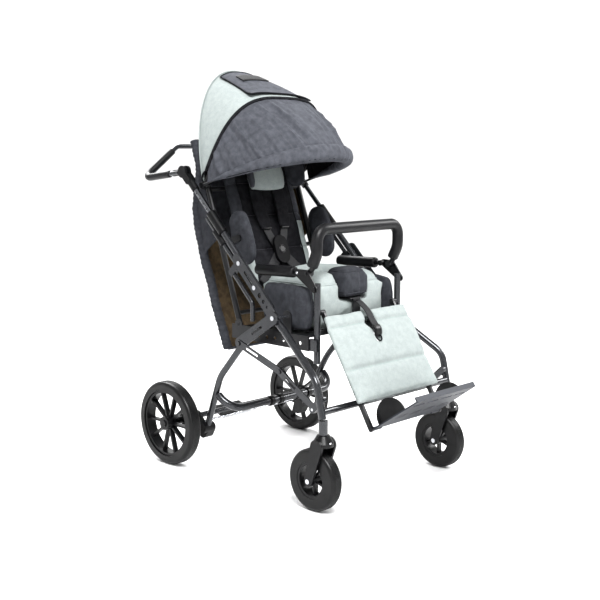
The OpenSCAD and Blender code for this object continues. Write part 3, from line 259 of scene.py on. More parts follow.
@made_once
def suede(name, shade, colour, sheen=0.35):
    """Brushed suede cloth: nap that lies in patches, short hairs and soft creases."""
    f = Finish(name)
    patches = f.grain(58.0, 6.0)
    hairs = f.grain(950.0, 2.0)
    creases = f.grain(75.0, 4.0, (1.0, 1.0, 0.35))
    base = f.ramp(patches, shade, colour, 0.34, 0.64)
    flecks = f.ramp(hairs, (0.68, 0.68, 0.68), (1.0, 1.0, 1.0), 0.3, 0.7)
    normal = f.raise_by(hairs, 0.4, 0.0008, f.raise_by(creases, 0.4, 0.002))
    return f.done(f.blend(base, flecks, 0.8), f.range(patches, 0.84, 0.98), normal, Sheen_Weight=sheen,
                  Sheen_Roughness=0.45, Specular_IOR_Level=0.2, Sheen_Tint=(*colour, 1))


@made_once
def woven(name, dark, light):
    """Woven strap: fine ribs along and across."""
    f = Finish(name)
    along = f.add("ShaderNodeTexWave", Scale=130.0, bands_direction="X")
    over = f.add("ShaderNodeTexWave", Scale=160.0, bands_direction="Z")
    for w in (along, over):
        f.join(f.place, w.inputs["Vector"])
    weave = f.blend(along.outputs["Color"], over.outputs["Color"], 0.7)
    grey = f.add("ShaderNodeRGBToBW")
    f.join(weave, grey.inputs["Color"])
    return f.done(f.ramp(grey.outputs["Val"], dark, light, 0.1, 0.9),
                  f.range(f.grain(300.0), 0.6, 0.8), f.raise_by(grey.outputs["Val"], 0.4, 0.0005))


@made_once
def metal(name, low, high, rough, metallic=0.9, flake=1800.0, stretch=None, coat=0.0):
    """Coated or bright metal: fine flake, slightly worn gloss."""
    f = Finish(name)
    specks = f.grain(flake, 2.0, stretch)
    wear = f.grain(45.0, 6.0)
    worn = f.ramp(wear, (0.94, 0.94, 0.94), (1.0, 1.0, 1.0), 0.35, 0.6)
    return f.done(f.blend(f.ramp(specks, low, high), worn, 1.0),
                  f.range(wear, rough * 0.95, rough * 1.08), f.raise_by(specks, 0.03, 0.0002),
                  Metallic=metallic, Coat_Weight=coat, Coat_Roughness=0.1)


@made_once
def moulded(name, low, high, rough, grain=2400.0, depth=0.12, patch=38.0, gloss=0.3):
    """Moulded plastic, rubber or foam skin: fine grain and dusty patches."""
    f = Finish(name)
    pores = f.grain(grain, 2.0)
    dust = f.grain(patch, 5.0)
    return f.done(f.ramp(dust, low, high, 0.3, 0.75), f.range(dust, rough * 0.88, rough * 1.1),
                  f.raise_by(pores, depth, 0.0005), Specular_IOR_Level=gloss)


def cloth_colours():
    return bpy.context.scene.buggy_cloth


def mint():
    c = cloth_colours()
    return suede("mint_suede", c.mint_shade, c.mint, 0.25)


def slate():
    c = cloth_colours()
    return suede("slate_suede", c.slate_shade, c.slate)


# Slate suede at 0.55 of its colour: painted shade, a shaded copy of the same slate cloth for the parts that lie in
# less light.
def shaded_slate():
    c = cloth_colours()
    return suede("dark_slate_suede", [v * 0.55 for v in c.slate_shade], [v * 0.55 for v in c.slate], 0.2)


def lining():
    c = cloth_colours()
    return suede("tan_lining", [v * 0.55 for v in c.lining], c.lining, 0.1)


def black_cloth():
    return suede("black_cloth", (0.006, 0.006, 0.008), (0.016, 0.016, 0.019), 0.15)


def webbing():
    return woven("black_webbing", (0.006, 0.006, 0.007), (0.022, 0.022, 0.025))


def gunmetal():
    return metal("gunmetal_coat", (0.022, 0.023, 0.026), (0.05, 0.052, 0.057), 0.24, 0.55, coat=0.4)


def black_coat():
    return metal("black_powder_coat", (0.007, 0.007, 0.008), (0.016, 0.016, 0.018), 0.34, 0.2, 1400.0)


def bright_tube():
    return metal("brushed_tube", (0.16, 0.165, 0.175), (0.23, 0.235, 0.25), 0.18, 1.0, 900.0, (1.0, 0.1, 0.1))


def bolt_steel():
    return metal("bolt_zinc", (0.5, 0.51, 0.54), (0.75, 0.76, 0.79), 0.24, 1.0)


def black_plastic():
    return moulded("black_plastic", (0.003, 0.003, 0.0034), (0.007, 0.007, 0.008), 0.33)


def matte_plastic():
    return moulded("matte_black_plastic", (0.003, 0.003, 0.0034), (0.006, 0.006, 0.007), 0.6, gloss=0.12)


def rubber():
    return moulded("tyre_rubber", (0.004, 0.004, 0.004), (0.009, 0.009, 0.0095), 0.36, 900.0, 0.12)


def foam_skin():
    return moulded("foam_skin", (0.004, 0.004, 0.005), (0.008, 0.008, 0.009), 0.4, 1700.0, 0.16)


def plate_blue():
    return metal("footplate_coat", (0.018, 0.02, 0.026), (0.034, 0.038, 0.048), 0.5, 0.2)


def thread(name, colour):
    return moulded(name, [v * 0.7 for v in colour], colour, 0.75, 2600.0, 0.3, 200.0)


def mint_thread():
    return thread("mint_thread", (0.3, 0.42, 0.39))


def dark_thread():
    return thread("dark_thread", (0.11, 0.105, 0.12))


# Mesh helpers

def make_object(name, verts, faces, *mats, smooth=True):
    mesh = bpy.data.meshes.new(name)
    mesh.from_pydata([tuple(map(float, v)) for v in verts], [], [tuple(map(int, f)) for f in faces])
    mesh.validate()
    for m in mats:
        mesh.materials.append(m)
    mesh.polygons.foreach_set("use_smooth", [smooth] * len(mesh.polygons))
    mesh.update()
    made = bpy.data.objects.new(name, mesh)
    bpy.context.scene.collection.objects.link(made)
    return made


def points_of(mesh):
    co = np.zeros(len(mesh.vertices) * 3)
    mesh.vertices.foreach_get("co", co)
    return co.reshape(-1, 3)


def set_points(mesh, co):
    mesh.vertices.foreach_set("co", np.ascontiguousarray(co, dtype=np.float32).ravel())
    mesh.update()


def normals_of(mesh):
    no = np.zeros(len(mesh.vertices) * 3, np.float32)
    mesh.vertex_normals.foreach_get("vector", no)
    return no.reshape(-1, 3).astype(float)


def relax(mesh, rounds, share=0.5):
    edges = np.zeros(len(mesh.edges) * 2, np.int64)
    mesh.edges.foreach_get("vertices", edges)
    a, b = edges.reshape(-1, 2).T
    co = points_of(mesh)
    count = np.bincount(np.concatenate([a, b]), minlength=len(co)).astype(float)
    for _ in range(rounds):
        total = np.zeros_like(co)
        np.add.at(total, a, co[b])
        np.add.at(total, b, co[a])
        co = co + share * (total / np.maximum(count, 1)[:, None] - co)
    set_points(mesh, co)


def loft(name, rings, *mats, closed_ring=True, caps=True):
    """Skins a row of rings of points, each with the same count."""
    rings = np.asarray(rings, float)
    n, k = rings.shape[:2]
    faces = []
    for i in range(n - 1):
        for j in range(k if closed_ring else k - 1):
            q = (j + 1) % k
            faces.append((i * k + j, i * k + q, (i + 1) * k + q, (i + 1) * k + j))
    if caps and closed_ring:
        faces += [tuple(range(k))[::-1], tuple(range((n - 1) * k, n * k))]
    made = make_object(name, rings.reshape(-1, 3), faces, *mats)
    outward(made)
    return made


def outward(made):
    bm = bmesh.new()
    bm.from_mesh(made.data)
    bmesh.ops.recalc_face_normals(bm, faces=bm.faces)
    bm.to_mesh(made.data)
    bm.free()


def frames_along(path, closed=False):
    """Unit tangents and two steady cross directions along a path."""
    p = np.asarray(path, float)
    t = np.roll(p, -1, 0) - np.roll(p, 1, 0) if closed else np.gradient(p, axis=0)
    t /= np.maximum(np.linalg.norm(t, axis=1), 1e-12)[:, None]
    start = ACROSS if abs(t[0] @ ACROSS) < 0.8 else UPRIGHT
    sides = []
    side = start - t[0] * (start @ t[0])
    for d in t:
        side = side - d * (side @ d)
        side = side / np.linalg.norm(side)
        sides.append(side)
    sides = np.array(sides)
    return t, sides, np.cross(t, sides)


def tube(name, path, radius, *mats, sides=10, closed=False, dome=0.0):
    """A round cord or sleeve along a path; dome rounds its ends off by that length."""
    p = np.asarray(path, float)
    t, s, n = frames_along(p, closed)
    r = np.full(len(p), radius) if np.isscalar(radius) else np.asarray(radius, float)
    if dome and not closed:
        steps = [(0.0, 0.62), (0.12, 0.8), (0.38, 0.94)]
        head = [(p[0] + t[0] * dome * a, r[0] * b, 0) for a, b in steps]
        tail = [(p[-1] - t[-1] * dome * a, r[-1] * b, len(p) - 1) for a, b in steps[::-1]]
        along = np.concatenate([[0], np.cumsum(np.linalg.norm(np.diff(p, axis=0), axis=1))])
        keep = [i for i in range(len(p)) if dome <= along[i] <= along[-1] - dome]
        rows = head + [(p[0] + t[0] * dome, r[0], 0)] + [(p[i], r[i], i) for i in keep]
        rows += [(p[-1] - t[-1] * dome, r[-1], len(p) - 1)] + tail
    else:
        rows = [(p[i], r[i], i) for i in range(len(p))]
    angles = np.arange(sides) * 2 * math.pi / sides
    rings = [c + q * (np.outer(np.cos(angles), s[i]) + np.outer(np.sin(angles), n[i])) for c, q, i in rows]
    if closed:
        rings.append(rings[0])
        made = loft(name, rings, *mats, caps=False)
        bm = bmesh.new()
        bm.from_mesh(made.data)
        bmesh.ops.remove_doubles(bm, verts=bm.verts, dist=1e-7)
        bmesh.ops.recalc_face_normals(bm, faces=bm.faces)
        bm.to_mesh(made.data)
        bm.free()
        return made
    return loft(name, rings, *mats)


def band(name, path, across, width, thick, *mats):
    """A flat strap with rounded edges along a path; across gives its width direction at each point."""
    p, s = np.asarray(path, float), np.asarray(across, float)
    t = np.gradient(p, axis=0)
    t /= np.linalg.norm(t, axis=1)[:, None]
    s = s - t * (s * t).sum(1)[:, None]
    s /= np.linalg.norm(s, axis=1)[:, None]
    n = np.cross(t, s)
    w = np.full(len(p), width) if np.isscalar(width) else np.asarray(width, float)
    h = thick / 2
    profile = [(-1, 0.0), (-0.97, 0.7), (-0.9, 1.0), (-0.45, 1.0), (0, 1.0), (0.45, 1.0), (0.9, 1.0),
               (0.97, 0.7), (1, 0.0), (0.97, -0.7), (0.9, -1.0), (0, -1.0), (-0.9, -1.0), (-0.97, -0.7)]
    rings = [[p[i] + s[i] * a * w[i] / 2 + n[i] * b * h for a, b in profile] for i in range(len(p))]
    return loft(name, rings, *mats)


def shell(name, outer, inner, mat_out, mat_in):
    """A closed sheet between an outer and an inner grid of points."""
    outer, inner = np.asarray(outer), np.asarray(inner)
    nv, nu = outer.shape[:2]
    n = nv * nu
    faces, index = [], []
    for side in (0, 1):
        for j in range(nv - 1):
            for i in range(nu - 1):
                a = side * n + j * nu + i
                quad = (a, a + 1, a + nu + 1, a + nu)
                faces.append(quad if side == 0 else quad[::-1])
                index.append(side)
    rim = [i for i in range(nu)] + [j * nu + nu - 1 for j in range(1, nv)]
    rim += [(nv - 1) * nu + i for i in range(nu - 2, -1, -1)] + [j * nu for j in range(nv - 2, 0, -1)]
    for k, a in enumerate(rim):
        b = rim[(k + 1) % len(rim)]
        faces.append((b, a, n + a, n + b))
        index.append(0)
    both = np.concatenate([outer.reshape(-1, 3), inner.reshape(-1, 3)])
    made = make_object(name, both, faces, mat_out, mat_in)
    made.data.polygons.foreach_set("material_index", index[:len(made.data.polygons)])
    outward(made)
    return made


def curve_through(points, count):
    """Evenly spaced points on a smooth curve through a few."""
    p = np.asarray(points, float)
    q = np.concatenate([[2 * p[0] - p[1]], p, [2 * p[-1] - p[-2]]])
    fine = []
    for i in range(1, len(q) - 2):
        for u in np.linspace(0, 1, 24, endpoint=False):
            a, b, c, d = q[i - 1:i + 3]
            fine.append(0.5 * (2 * b + (c - a) * u + (2 * a - 5 * b + 4 * c - d) * u * u
                               + (3 * b - a - 3 * c + d) * u ** 3))
    fine.append(p[-1])
    return spaced(np.array(fine), count=count)


def spaced(path, step=None, count=None, closed=False):
    p = np.asarray(path, float)
    if closed:
        p = np.concatenate([p, p[:1]])
    run = np.concatenate([[0], np.cumsum(np.linalg.norm(np.diff(p, axis=0), axis=1))])
    n = count or max(3, int(run[-1] / step))
    at = np.linspace(0, run[-1], n, endpoint=not closed)
    return np.stack([np.interp(at, run, p[:, k]) for k in range(3)], 1)


def bends(points, radius, steps=8):
    """A path of straight runs joined by round bends of one radius."""
    p = np.asarray(points, float)
    out = [p[0]]
    for i in range(1, len(p) - 1):
        a, b = p[i - 1] - p[i], p[i + 1] - p[i]
        a, b = a / np.linalg.norm(a), b / np.linalg.norm(b)
        half = math.acos(max(-1, min(1, a @ b))) / 2
        centre = p[i] + (a + b) / np.linalg.norm(a + b) * radius / math.sin(half)
        start, end = p[i] + a * radius / math.tan(half) - centre, p[i] + b * radius / math.tan(half) - centre
        whole = math.acos(max(-1, min(1, start @ end / radius ** 2)))
        for k in range(steps + 1):
            f = k / steps
            arm = math.sin((1 - f) * whole) * start + math.sin(f * whole) * end
            out.append(centre + arm / math.sin(whole))
    out.append(p[-1])
    return np.array(out)


def cut_loops(made, point, normal):
    """The loops where a plane cuts a piece's surface, longest first."""
    bm = bmesh.new()
    bm.from_mesh(made.data)
    cut = bmesh.ops.bisect_plane(bm, geom=bm.verts[:] + bm.edges[:] + bm.faces[:],
                                 plane_co=Vector(point), plane_no=Vector(normal))["geom_cut"]
    near = {}
    for e in cut:
        if isinstance(e, bmesh.types.BMEdge):
            a, b = e.verts
            near.setdefault(a, []).append(b)
            near.setdefault(b, []).append(a)
    loops, seen = [], set()
    for start in near:
        if start in seen:
            continue
        walk, here = [], start
        while here is not None:
            seen.add(here)
            walk.append(tuple(here.co))
            here = next((v for v in near[here] if v not in seen), None)
        if len(walk) > 8:
            loops.append(np.array(walk))
    bm.free()
    return sorted(loops, key=lambda w: -np.linalg.norm(np.diff(w, axis=0), axis=1).sum())


STITCH_R = 0.00048


def surface_of(made):
    return BVHTree.FromPolygons([tuple(v) for v in points_of(made.data)],
                                [tuple(f.vertices) for f in made.data.polygons])


def stitches(name, path, made, mat, closed=True, lift=0.0005):
    """A row of short stitches that lie on a piece's surface along a path."""
    sewing = bpy.context.scene.buggy_sewing
    co = spaced(path, step=sewing.pitch / 2, closed=closed)
    tree = surface_of(made)
    verts, faces = [], []
    for i in range(0, len(co) - 1, 2):
        a, b = co[i], co[i + 1]
        d = b - a
        if np.linalg.norm(d) < 1e-6 or np.linalg.norm(d) > sewing.pitch:
            continue
        d = d / np.linalg.norm(d)
        hit, no, _, _ = tree.find_nearest(Vector((a + b) / 2))
        no = np.array(no)
        mid = np.array(hit) + no * lift
        side = np.cross(d, no)
        half, r = sewing.pitch * 0.36, STITCH_R
        base = len(verts)
        for u, grow in ((-1, 0.3), (-0.6, 1.0), (0.6, 1.0), (1, 0.3)):
            for k in range(6):
                g = k * math.pi / 3
                verts.append(mid + d * half * u + (side * math.cos(g) + no * math.sin(g)) * r * grow)
        for q in range(3):
            for k in range(6):
                m = (k + 1) % 6
                low, top = base + q * 6, base + (q + 1) * 6
                faces.append((low + k, low + m, top + m, top + k))
        faces += [tuple(base + k for k in range(6))[::-1], tuple(base + 18 + k for k in range(6))]
    row = make_object(name, verts, faces, mat)
    outward(row)
    return row


def carry(made, body, slot=None, *stands_for):
    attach(made, body)
    if stands_for:
        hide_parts(*stands_for)
    return made


# Stuffed pads

def stuffed(node, name, *mats, inset=0.004, cap=0.009, rounds=5, grain=None):
    """A pad stuffed from its solid: remeshed, drawn in a little, then filled by a short cloth simulation."""
    sewing = bpy.context.scene.buggy_sewing
    source = bpy.data.objects.new(name + "_blank", NODES[node].data.copy())
    bpy.context.scene.collection.objects.link(source)
    bm = bmesh.new()
    bm.from_mesh(source.data)
    bmesh.ops.remove_doubles(bm, verts=bm.verts, dist=1e-5)
    bmesh.ops.recalc_face_normals(bm, faces=bm.faces)
    bm.to_mesh(source.data)
    bm.free()
    cut = source.modifiers.new("Cut", "REMESH")
    cut.mode = "VOXEL"
    cut.voxel_size = grain or sewing.grain
    shape = source.evaluated_get(bpy.context.evaluated_depsgraph_get())
    mesh = bpy.data.meshes.new_from_object(shape)
    mesh.name = name
    bpy.data.objects.remove(source)
    mesh.materials.clear()
    for m in mats:
        mesh.materials.append(m)
    made = bpy.data.objects.new(name, mesh)
    bpy.context.scene.collection.objects.link(made)
    relax(mesh, rounds)
    set_points(mesh, points_of(mesh) - normals_of(mesh) * inset)
    fill(made, cap)
    relax(mesh, 2)
    mesh.polygons.foreach_set("use_smooth", [True] * len(mesh.polygons))
    return made


def fill(made, cap):
    """Blows a pad up like filling does, and keeps each point within cap of where it was."""
    rest = points_of(made.data)
    cloth = made.modifiers.new("Filling", "CLOTH")
    cloth.settings.quality = 4
    cloth.settings.use_pressure = True
    cloth.settings.uniform_pressure_force = bpy.context.scene.buggy_sewing.fill
    cloth.settings.effector_weights.gravity = 0
    cloth.settings.tension_stiffness = 12
    cloth.settings.bending_stiffness = 1.5
    cloth.point_cache.frame_start, cloth.point_cache.frame_end = 1, 20
    for step in range(1, 21):
        bpy.context.scene.frame_set(step)
    shape = made.evaluated_get(bpy.context.evaluated_depsgraph_get())
    moved = points_of(shape.to_mesh()) - rest
    shape.to_mesh_clear()
    made.modifiers.remove(cloth)
    bpy.context.scene.frame_set(1)
    far = np.linalg.norm(moved, axis=1)
    set_points(made.data, rest + moved * np.minimum(1, cap / np.maximum(far, 1e-9))[:, None])


def press(made, amount):
    """Moves each point in along its normal by amount(points), in metres."""
    co = points_of(made.data)
    set_points(made.data, co - normals_of(made.data) * amount(co)[:, None])


def rumple(made, size, depth, seed):
    """Soft creases of a given size and depth, always the same for one seed."""
    co = points_of(made.data)
    shift = Vector((seed * 3.7, seed * 1.3, seed * 2.1))
    lift = np.array([noise.noise(Vector(p) / size + shift) for p in co])
    set_points(made.data, co + normals_of(made.data) * (lift * depth)[:, None])


def groove(co, point, normal, width):
    """How near each point lies to a seam plane, 1 on it and 0 away from it."""
    return np.exp(-(((co - point) @ np.asarray(normal)) / width) ** 2)


def crown(made):
    sub = made.modifiers.new("Soft", "SUBSURF")
    sub.levels = sub.render_levels = 1
    return made


def plump(made, body, slot, fill, *stands_for):
    """Softens a finished pad and hangs it on its body. Its fill is not used."""
    crown(carry(made, body, slot, *stands_for))


def sewn_seam(made, name, point, normal, body, slot, mat, depth, width=0.006, keep=None, cord=None):
    """Draws a seam into a pad along a plane, and lays its stitches or its piping cord there."""
    press(made, lambda co: depth * groove(co, point, normal, width) * (1 if keep is None else keep(co)))
    for k, loop in enumerate(cut_loops(made, point, normal)[:2]):
        if keep is not None:
            shown = keep(loop) > 0.5
            if shown.sum() < 6:
                continue
            first = int(np.argmax(~np.roll(shown, 1) & shown)) if not shown.all() else 0
            loop, shown = np.roll(loop, -first, 0), np.roll(shown, -first)
            loop = loop[:int(np.argmax(~shown))] if not shown.all() else loop
            if len(loop) < 4:
                continue
        whole = keep is None
        if cord is None:
            row = stitches("%s_%d" % (name, k), loop, made, mat, closed=whole)
        else:
            line = spaced(loop, step=0.005, closed=whole)
            row = tube("%s_%d" % (name, k), line, cord, mat, sides=8, closed=whole)
        carry(row, body, slot)


# Finishes of the rigid nodes

FINISHES = {
    "gunmetal": gunmetal, "black_metal": black_coat, "bright_tube": bright_tube, "steel": bolt_steel,
    "black_plastic": black_plastic, "button_plastic": black_plastic, "tyre": rubber, "foam": foam_skin,
    "mint_suede": mint, "grey_suede": slate, "webbing": webbing,
}


def two_tone(node, mat, test):
    """Gives the faces of a CAD node that pass a test a second finish."""
    mesh = NODES[node].data
    mesh.materials.append(mat)
    last = len(mesh.materials) - 1
    co = points_of(mesh)
    for f in mesh.polygons:
        if test(co[list(f.vertices)].mean(0)):
            f.material_index = last


class BUGGY_OT_finish_frame(bpy.types.Operator):
    """Gives every rigid part of the frame its metal, plastic or rubber finish."""

    bl_idname = "buggy.finish_frame"
    bl_label = "Finish the frame"

    def execute(self, context):
        slots = {s["node"]: s["material_slot"] for s in frame["record"]["subparts"]}
        for node, made in NODES.items():
            made.data.materials.clear()
            made.data.materials.append(FINISHES[slots[node]]())
            for f in made.data.polygons:
                f.material_index = 0
        rim = 0.053
        for side in ("left", "right"):
            hub = pivot("caster_%s_spin" % side)
            two_tone("caster_wheel_" + side, black_plastic(), lambda c: np.hypot(*(c - hub)[1:]) < rim)
        NODES["footplate"].data.materials[0] = plate_blue()
        NODES["heel_guards"].data.materials[0] = black_plastic()
        NODES["harness_buckle"].data.materials[0] = matte_plastic()
        run = from_axle(0, -226, 204)
        two_tone("u_tube", black_plastic(), lambda c: np.hypot(*(c - run)[1:]) > 0.0135 and abs(c[0]) < 0.14
                 and np.hypot(*(c - run)[1:]) < 0.018)
        bar = pivot("brake_press")
        two_tone("brake_pedal", bolt_steel(), lambda c: np.hypot(*(c - bar)[1:]) < 0.0045)
        return {"FINISHED"}


class BUGGY_OT_wheel_detail(bpy.types.Operator):
    """Adds tread ribs to the tyres and the small fork lock pins."""

    bl_idname = "buggy.wheel_detail"
    bl_label = "Detail the wheels"

    def execute(self, context):
        around = np.arange(96) * 2 * math.pi / 96
        sunk = np.array([1, 0.9985, 0.9985])
        for side, sign in SIDES:
            for label, hub, radius, body, half in (
                    ("rear", np.array([sign * 0.298, AXLE[1], AXLE[2]]), 0.135, "wheel_" + side, 0.011),
                    ("caster", pivot("caster_%s_spin" % side), 0.089, "caster_" + side, 0.009)):
                for k in range(-2, 3):
                    ring = [hub + np.array([k * half / 2, radius * math.cos(a), radius * math.sin(a)]) * sunk
                            for a in around]
                    rib = tube("%s_tread_%s_%d" % (label, side, k + 2), ring, 0.0011, rubber(), sides=6,
                               closed=True)
                    carry(rib, body, "tyre")
            stem = pivot("caster_%s_swivel" % side)
            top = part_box("caster_fork_" + side)[1][2]
            start = np.array([stem[0], stem[1] - 0.014, top - 0.022])
            line = [start + [0, -out, 0] for out in (0, 0.009, 0.0092, 0.016)]
            pin = tube("caster_lock_pin_" + side, line, [0.0032, 0.0032, 0.0052, 0.0052], bolt_steel(),
                       sides=16)
            carry(pin, "fork_" + side, "steel")
        return {"FINISHED"}


class BUGGY_OT_seat(bpy.types.Operator):
    """Sews the seat cushion, the side pads and the abductor block."""

    bl_idname = "buggy.seat"
    bl_label = "Sew the seat"

    def execute(self, context):
        sewing = context.scene.buggy_sewing
        seat = stuffed("seat_cushion", "seat_cushion_sewn", mint(), inset=0.006, cap=0.008)
        rumple(seat, 0.06, 0.0016, 1)
        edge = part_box("seat_cushion")[1][2] - 0.045
        sewn_seam(seat, "seat_edge_piping", UPRIGHT * edge, UPRIGHT, "chassis", "mint_suede", mint(),
                  0.002, 0.005, cord=sewing.piping)
        for k, x in enumerate((-0.06, 0.06)):
            sewn_seam(seat, "seat_channel_%d" % k, ACROSS * x, ACROSS, "chassis", "mint_suede", mint_thread(),
                      sewing.seam, 0.007, keep=lambda co: 1.0 * (co[:, 2] > edge + 0.004))
        plump(seat, "chassis", "mint_suede", 0.8, "seat_cushion")

        # The side pads and the abductor block, with their piping cords, take the darkened slate: painted shade on
        # the slate cloth.
        for side, sign in SIDES:
            node = "side_pad_" + side
            low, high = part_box(node)
            pad = stuffed(node, node + "_sewn", shaded_slate(), inset=0.003, cap=0.006)
            rumple(pad, 0.05, 0.0014, 2)
            x = (low[0] + high[0]) / 2
            sewn_seam(pad, node + "_piping", ACROSS * x, ACROSS, "chassis", "grey_suede", shaded_slate(),
                      0.0012, 0.004, cord=0.0016)
            plump(pad, "chassis", "grey_suede", 0.7, node)

        low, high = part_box("abductor_block")
        block = stuffed("abductor_block", "abductor_block_sewn", shaded_slate(),
                        inset=0.0006, cap=0.0025, rounds=1, grain=0.004)
        rumple(block, 0.04, 0.001, 3)
        for k, z in enumerate((high[2] - 0.012, low[2] + 0.012)):
            sewn_seam(block, "abductor_piping_%d" % k, UPRIGHT * z, UPRIGHT, "chassis", "grey_suede",
                      shaded_slate(), 0.0015, 0.004, cord=0.0018)
        sewn_seam(block, "abductor_seam", ACROSS * 0.012, ACROSS, "chassis", "grey_suede", dark_thread(),
                  0.002, 0.004,
                  keep=lambda co: 1.0 * ((co[:, 1] < (low[1] + high[1]) / 2) & (co[:, 2] > low[2] + 0.014)
                                         & (co[:, 2] < high[2] - 0.014)))
        plump(block, "chassis", "grey_suede", 0.9, "abductor_block")
        return {"FINISHED"}


class BUGGY_OT_back(bpy.types.Operator):
    """Sews the back cushion, lateral pads, headrest and its wings."""

    bl_idname = "buggy.back"
    bl_label = "Sew the backrest"

    def execute(self, context):
        sewing = context.scene.buggy_sewing
        back = stuffed("back_cushion", "back_cushion_sewn", mint(), black_cloth(), shaded_slate(),
                       inset=0.004, cap=0.006)
        rumple(back, 0.07, 0.0018, 4)
        edge = 0.112
        front = -(CUSHION_REAR + CUSHION_T * 0.6) * MM

        def faces_front(co):
            return 1.0 * (((co - BACK) @ BACK_OUT) < front)

        for k, x in enumerate((-edge, edge)):
            sewn_seam(back, "back_panel_seam_%d" % k, ACROSS * x, ACROSS, "backrest", "mint_suede",
                      black_cloth(), 0.002, 0.005, keep=faces_front, cord=0.0018)
        for k, e in enumerate((222, 336, 443)):
            sewn_seam(back, "back_channel_%d" % k, on_back(e, 0), BACK_UP, "backrest", "webbing",
                      dark_thread(), sewing.seam, 0.008, keep=faces_front)
        # Faces of the back: black cloth in the centre, the darkened slate above 310 mm at the sides as painted
        # shade, mint below.
        co = points_of(back.data)
        for f in back.data.polygons:
            c = co[list(f.vertices)].mean(0)
            up = (c - BACK) @ BACK_UP
            f.material_index = 1 if abs(c[0]) < edge else (2 if up > 0.31 else 0)
        plump(back, "backrest", "mint_suede", 0.6, "back_cushion")

        # The lateral pads take the darkened slate: painted shade on the slate cloth.
        pads = stuffed("lateral_pads", "lateral_pads_sewn", shaded_slate(),
                       inset=0.002, cap=0.004, grain=0.0042)
        rumple(pads, 0.04, 0.001, 5)
        for side, sign in SIDES:
            sewn_seam(pads, "lateral_piping_" + side, ACROSS * sign * 0.179, ACROSS, "backrest",
                      "grey_suede", shaded_slate(), 0.0008, 0.003, cord=0.0015)
        plump(pads, "backrest", "grey_suede", 0.8, "lateral_pads")

        head = stuffed("headrest_pad", "headrest_sewn", mint(), inset=0.0025, cap=0.005, grain=0.0042)
        sewn_seam(head, "headrest_piping", on_back(0, CUSHION_FACE - 0.8 - 3 - 15), BACK_OUT, "headrest",
                  "mint_suede", mint(), 0.001, 0.004, cord=0.0016)
        rumple(head, 0.04, 0.001, 6)
        plump(head, "headrest", "mint_suede", 0.8, "headrest_pad")
        # The headrest wings take the darkened slate: painted shade on the slate cloth.
        wings = stuffed("headrest_wings", "headrest_wings_sewn", shaded_slate(),
                        inset=0.0015, cap=0.003, grain=0.004)
        rumple(wings, 0.03, 0.0008, 7)
        plump(wings, "headrest", "grey_suede", 0.8, "headrest_wings")
        return {"FINISHED"}


class BUGGY_OT_harness(bpy.types.Operator):
    """Lays the harness: padded shoulder straps, lap straps and adjusters."""

    bl_idname = "buggy.harness"
    bl_label = "Lay the harness"

    def execute(self, context):
        skin = CUSHION_FACE - 0.4
        for side, sign in SIDES:
            line = [(468, skin - 1.6, 48), (430, skin - 2.4, 50), (370, skin - 4, 50), (310, skin - 6, 45),
                    (265, skin - 7, 32), (236, skin - 6, 16)]
            path = curve_through([on_back(e, m, sign * x) for e, m, x in line], 40)
            strap = band("shoulder_strap_" + side, path, [ACROSS] * 40, 0.03, 0.0022, webbing())
            carry(strap, "backrest", "webbing", "harness_straps")
            top = curve_through([on_back(e, m - 1.2, sign * x) for e, m, x in line[1:4]] +
                                [on_back(286, skin - 8.2, sign * 39)], 36)
            wide = 0.052 * (1 - 0.25 * np.abs(np.linspace(-1, 1, 36)) ** 6)
            pad = band("shoulder_pad_" + side, top, [ACROSS] * 36, wide, 0.009, black_cloth())
            plump(pad, "backrest", "webbing", 0.4)
            round_hip = ((196, skin - 6, 14), (170, skin - 4, 40), (140, skin - 3, 72), (112, skin - 2, 104))
            lap = curve_through([on_back(e, m, sign * x) for e, m, x in round_hip], 30)
            out = np.array([on_back(0, 0, 0.62 * sign) - on_back(-0.78, 0, 0)]) / MM
            low = band("lap_strap_" + side, lap, np.repeat(out, 30, 0), 0.036, 0.0024, webbing())
            carry(low, "backrest", "webbing")
            at = path[30] - BACK_OUT * 0.004
            slider = tube("strap_slider_" + side, [at - ACROSS * 0.017, at + ACROSS * 0.017], 0.0034,
                          black_plastic(), sides=12, dome=0.002)
            carry(slider, "backrest", "black_plastic")
        return {"FINISHED"}


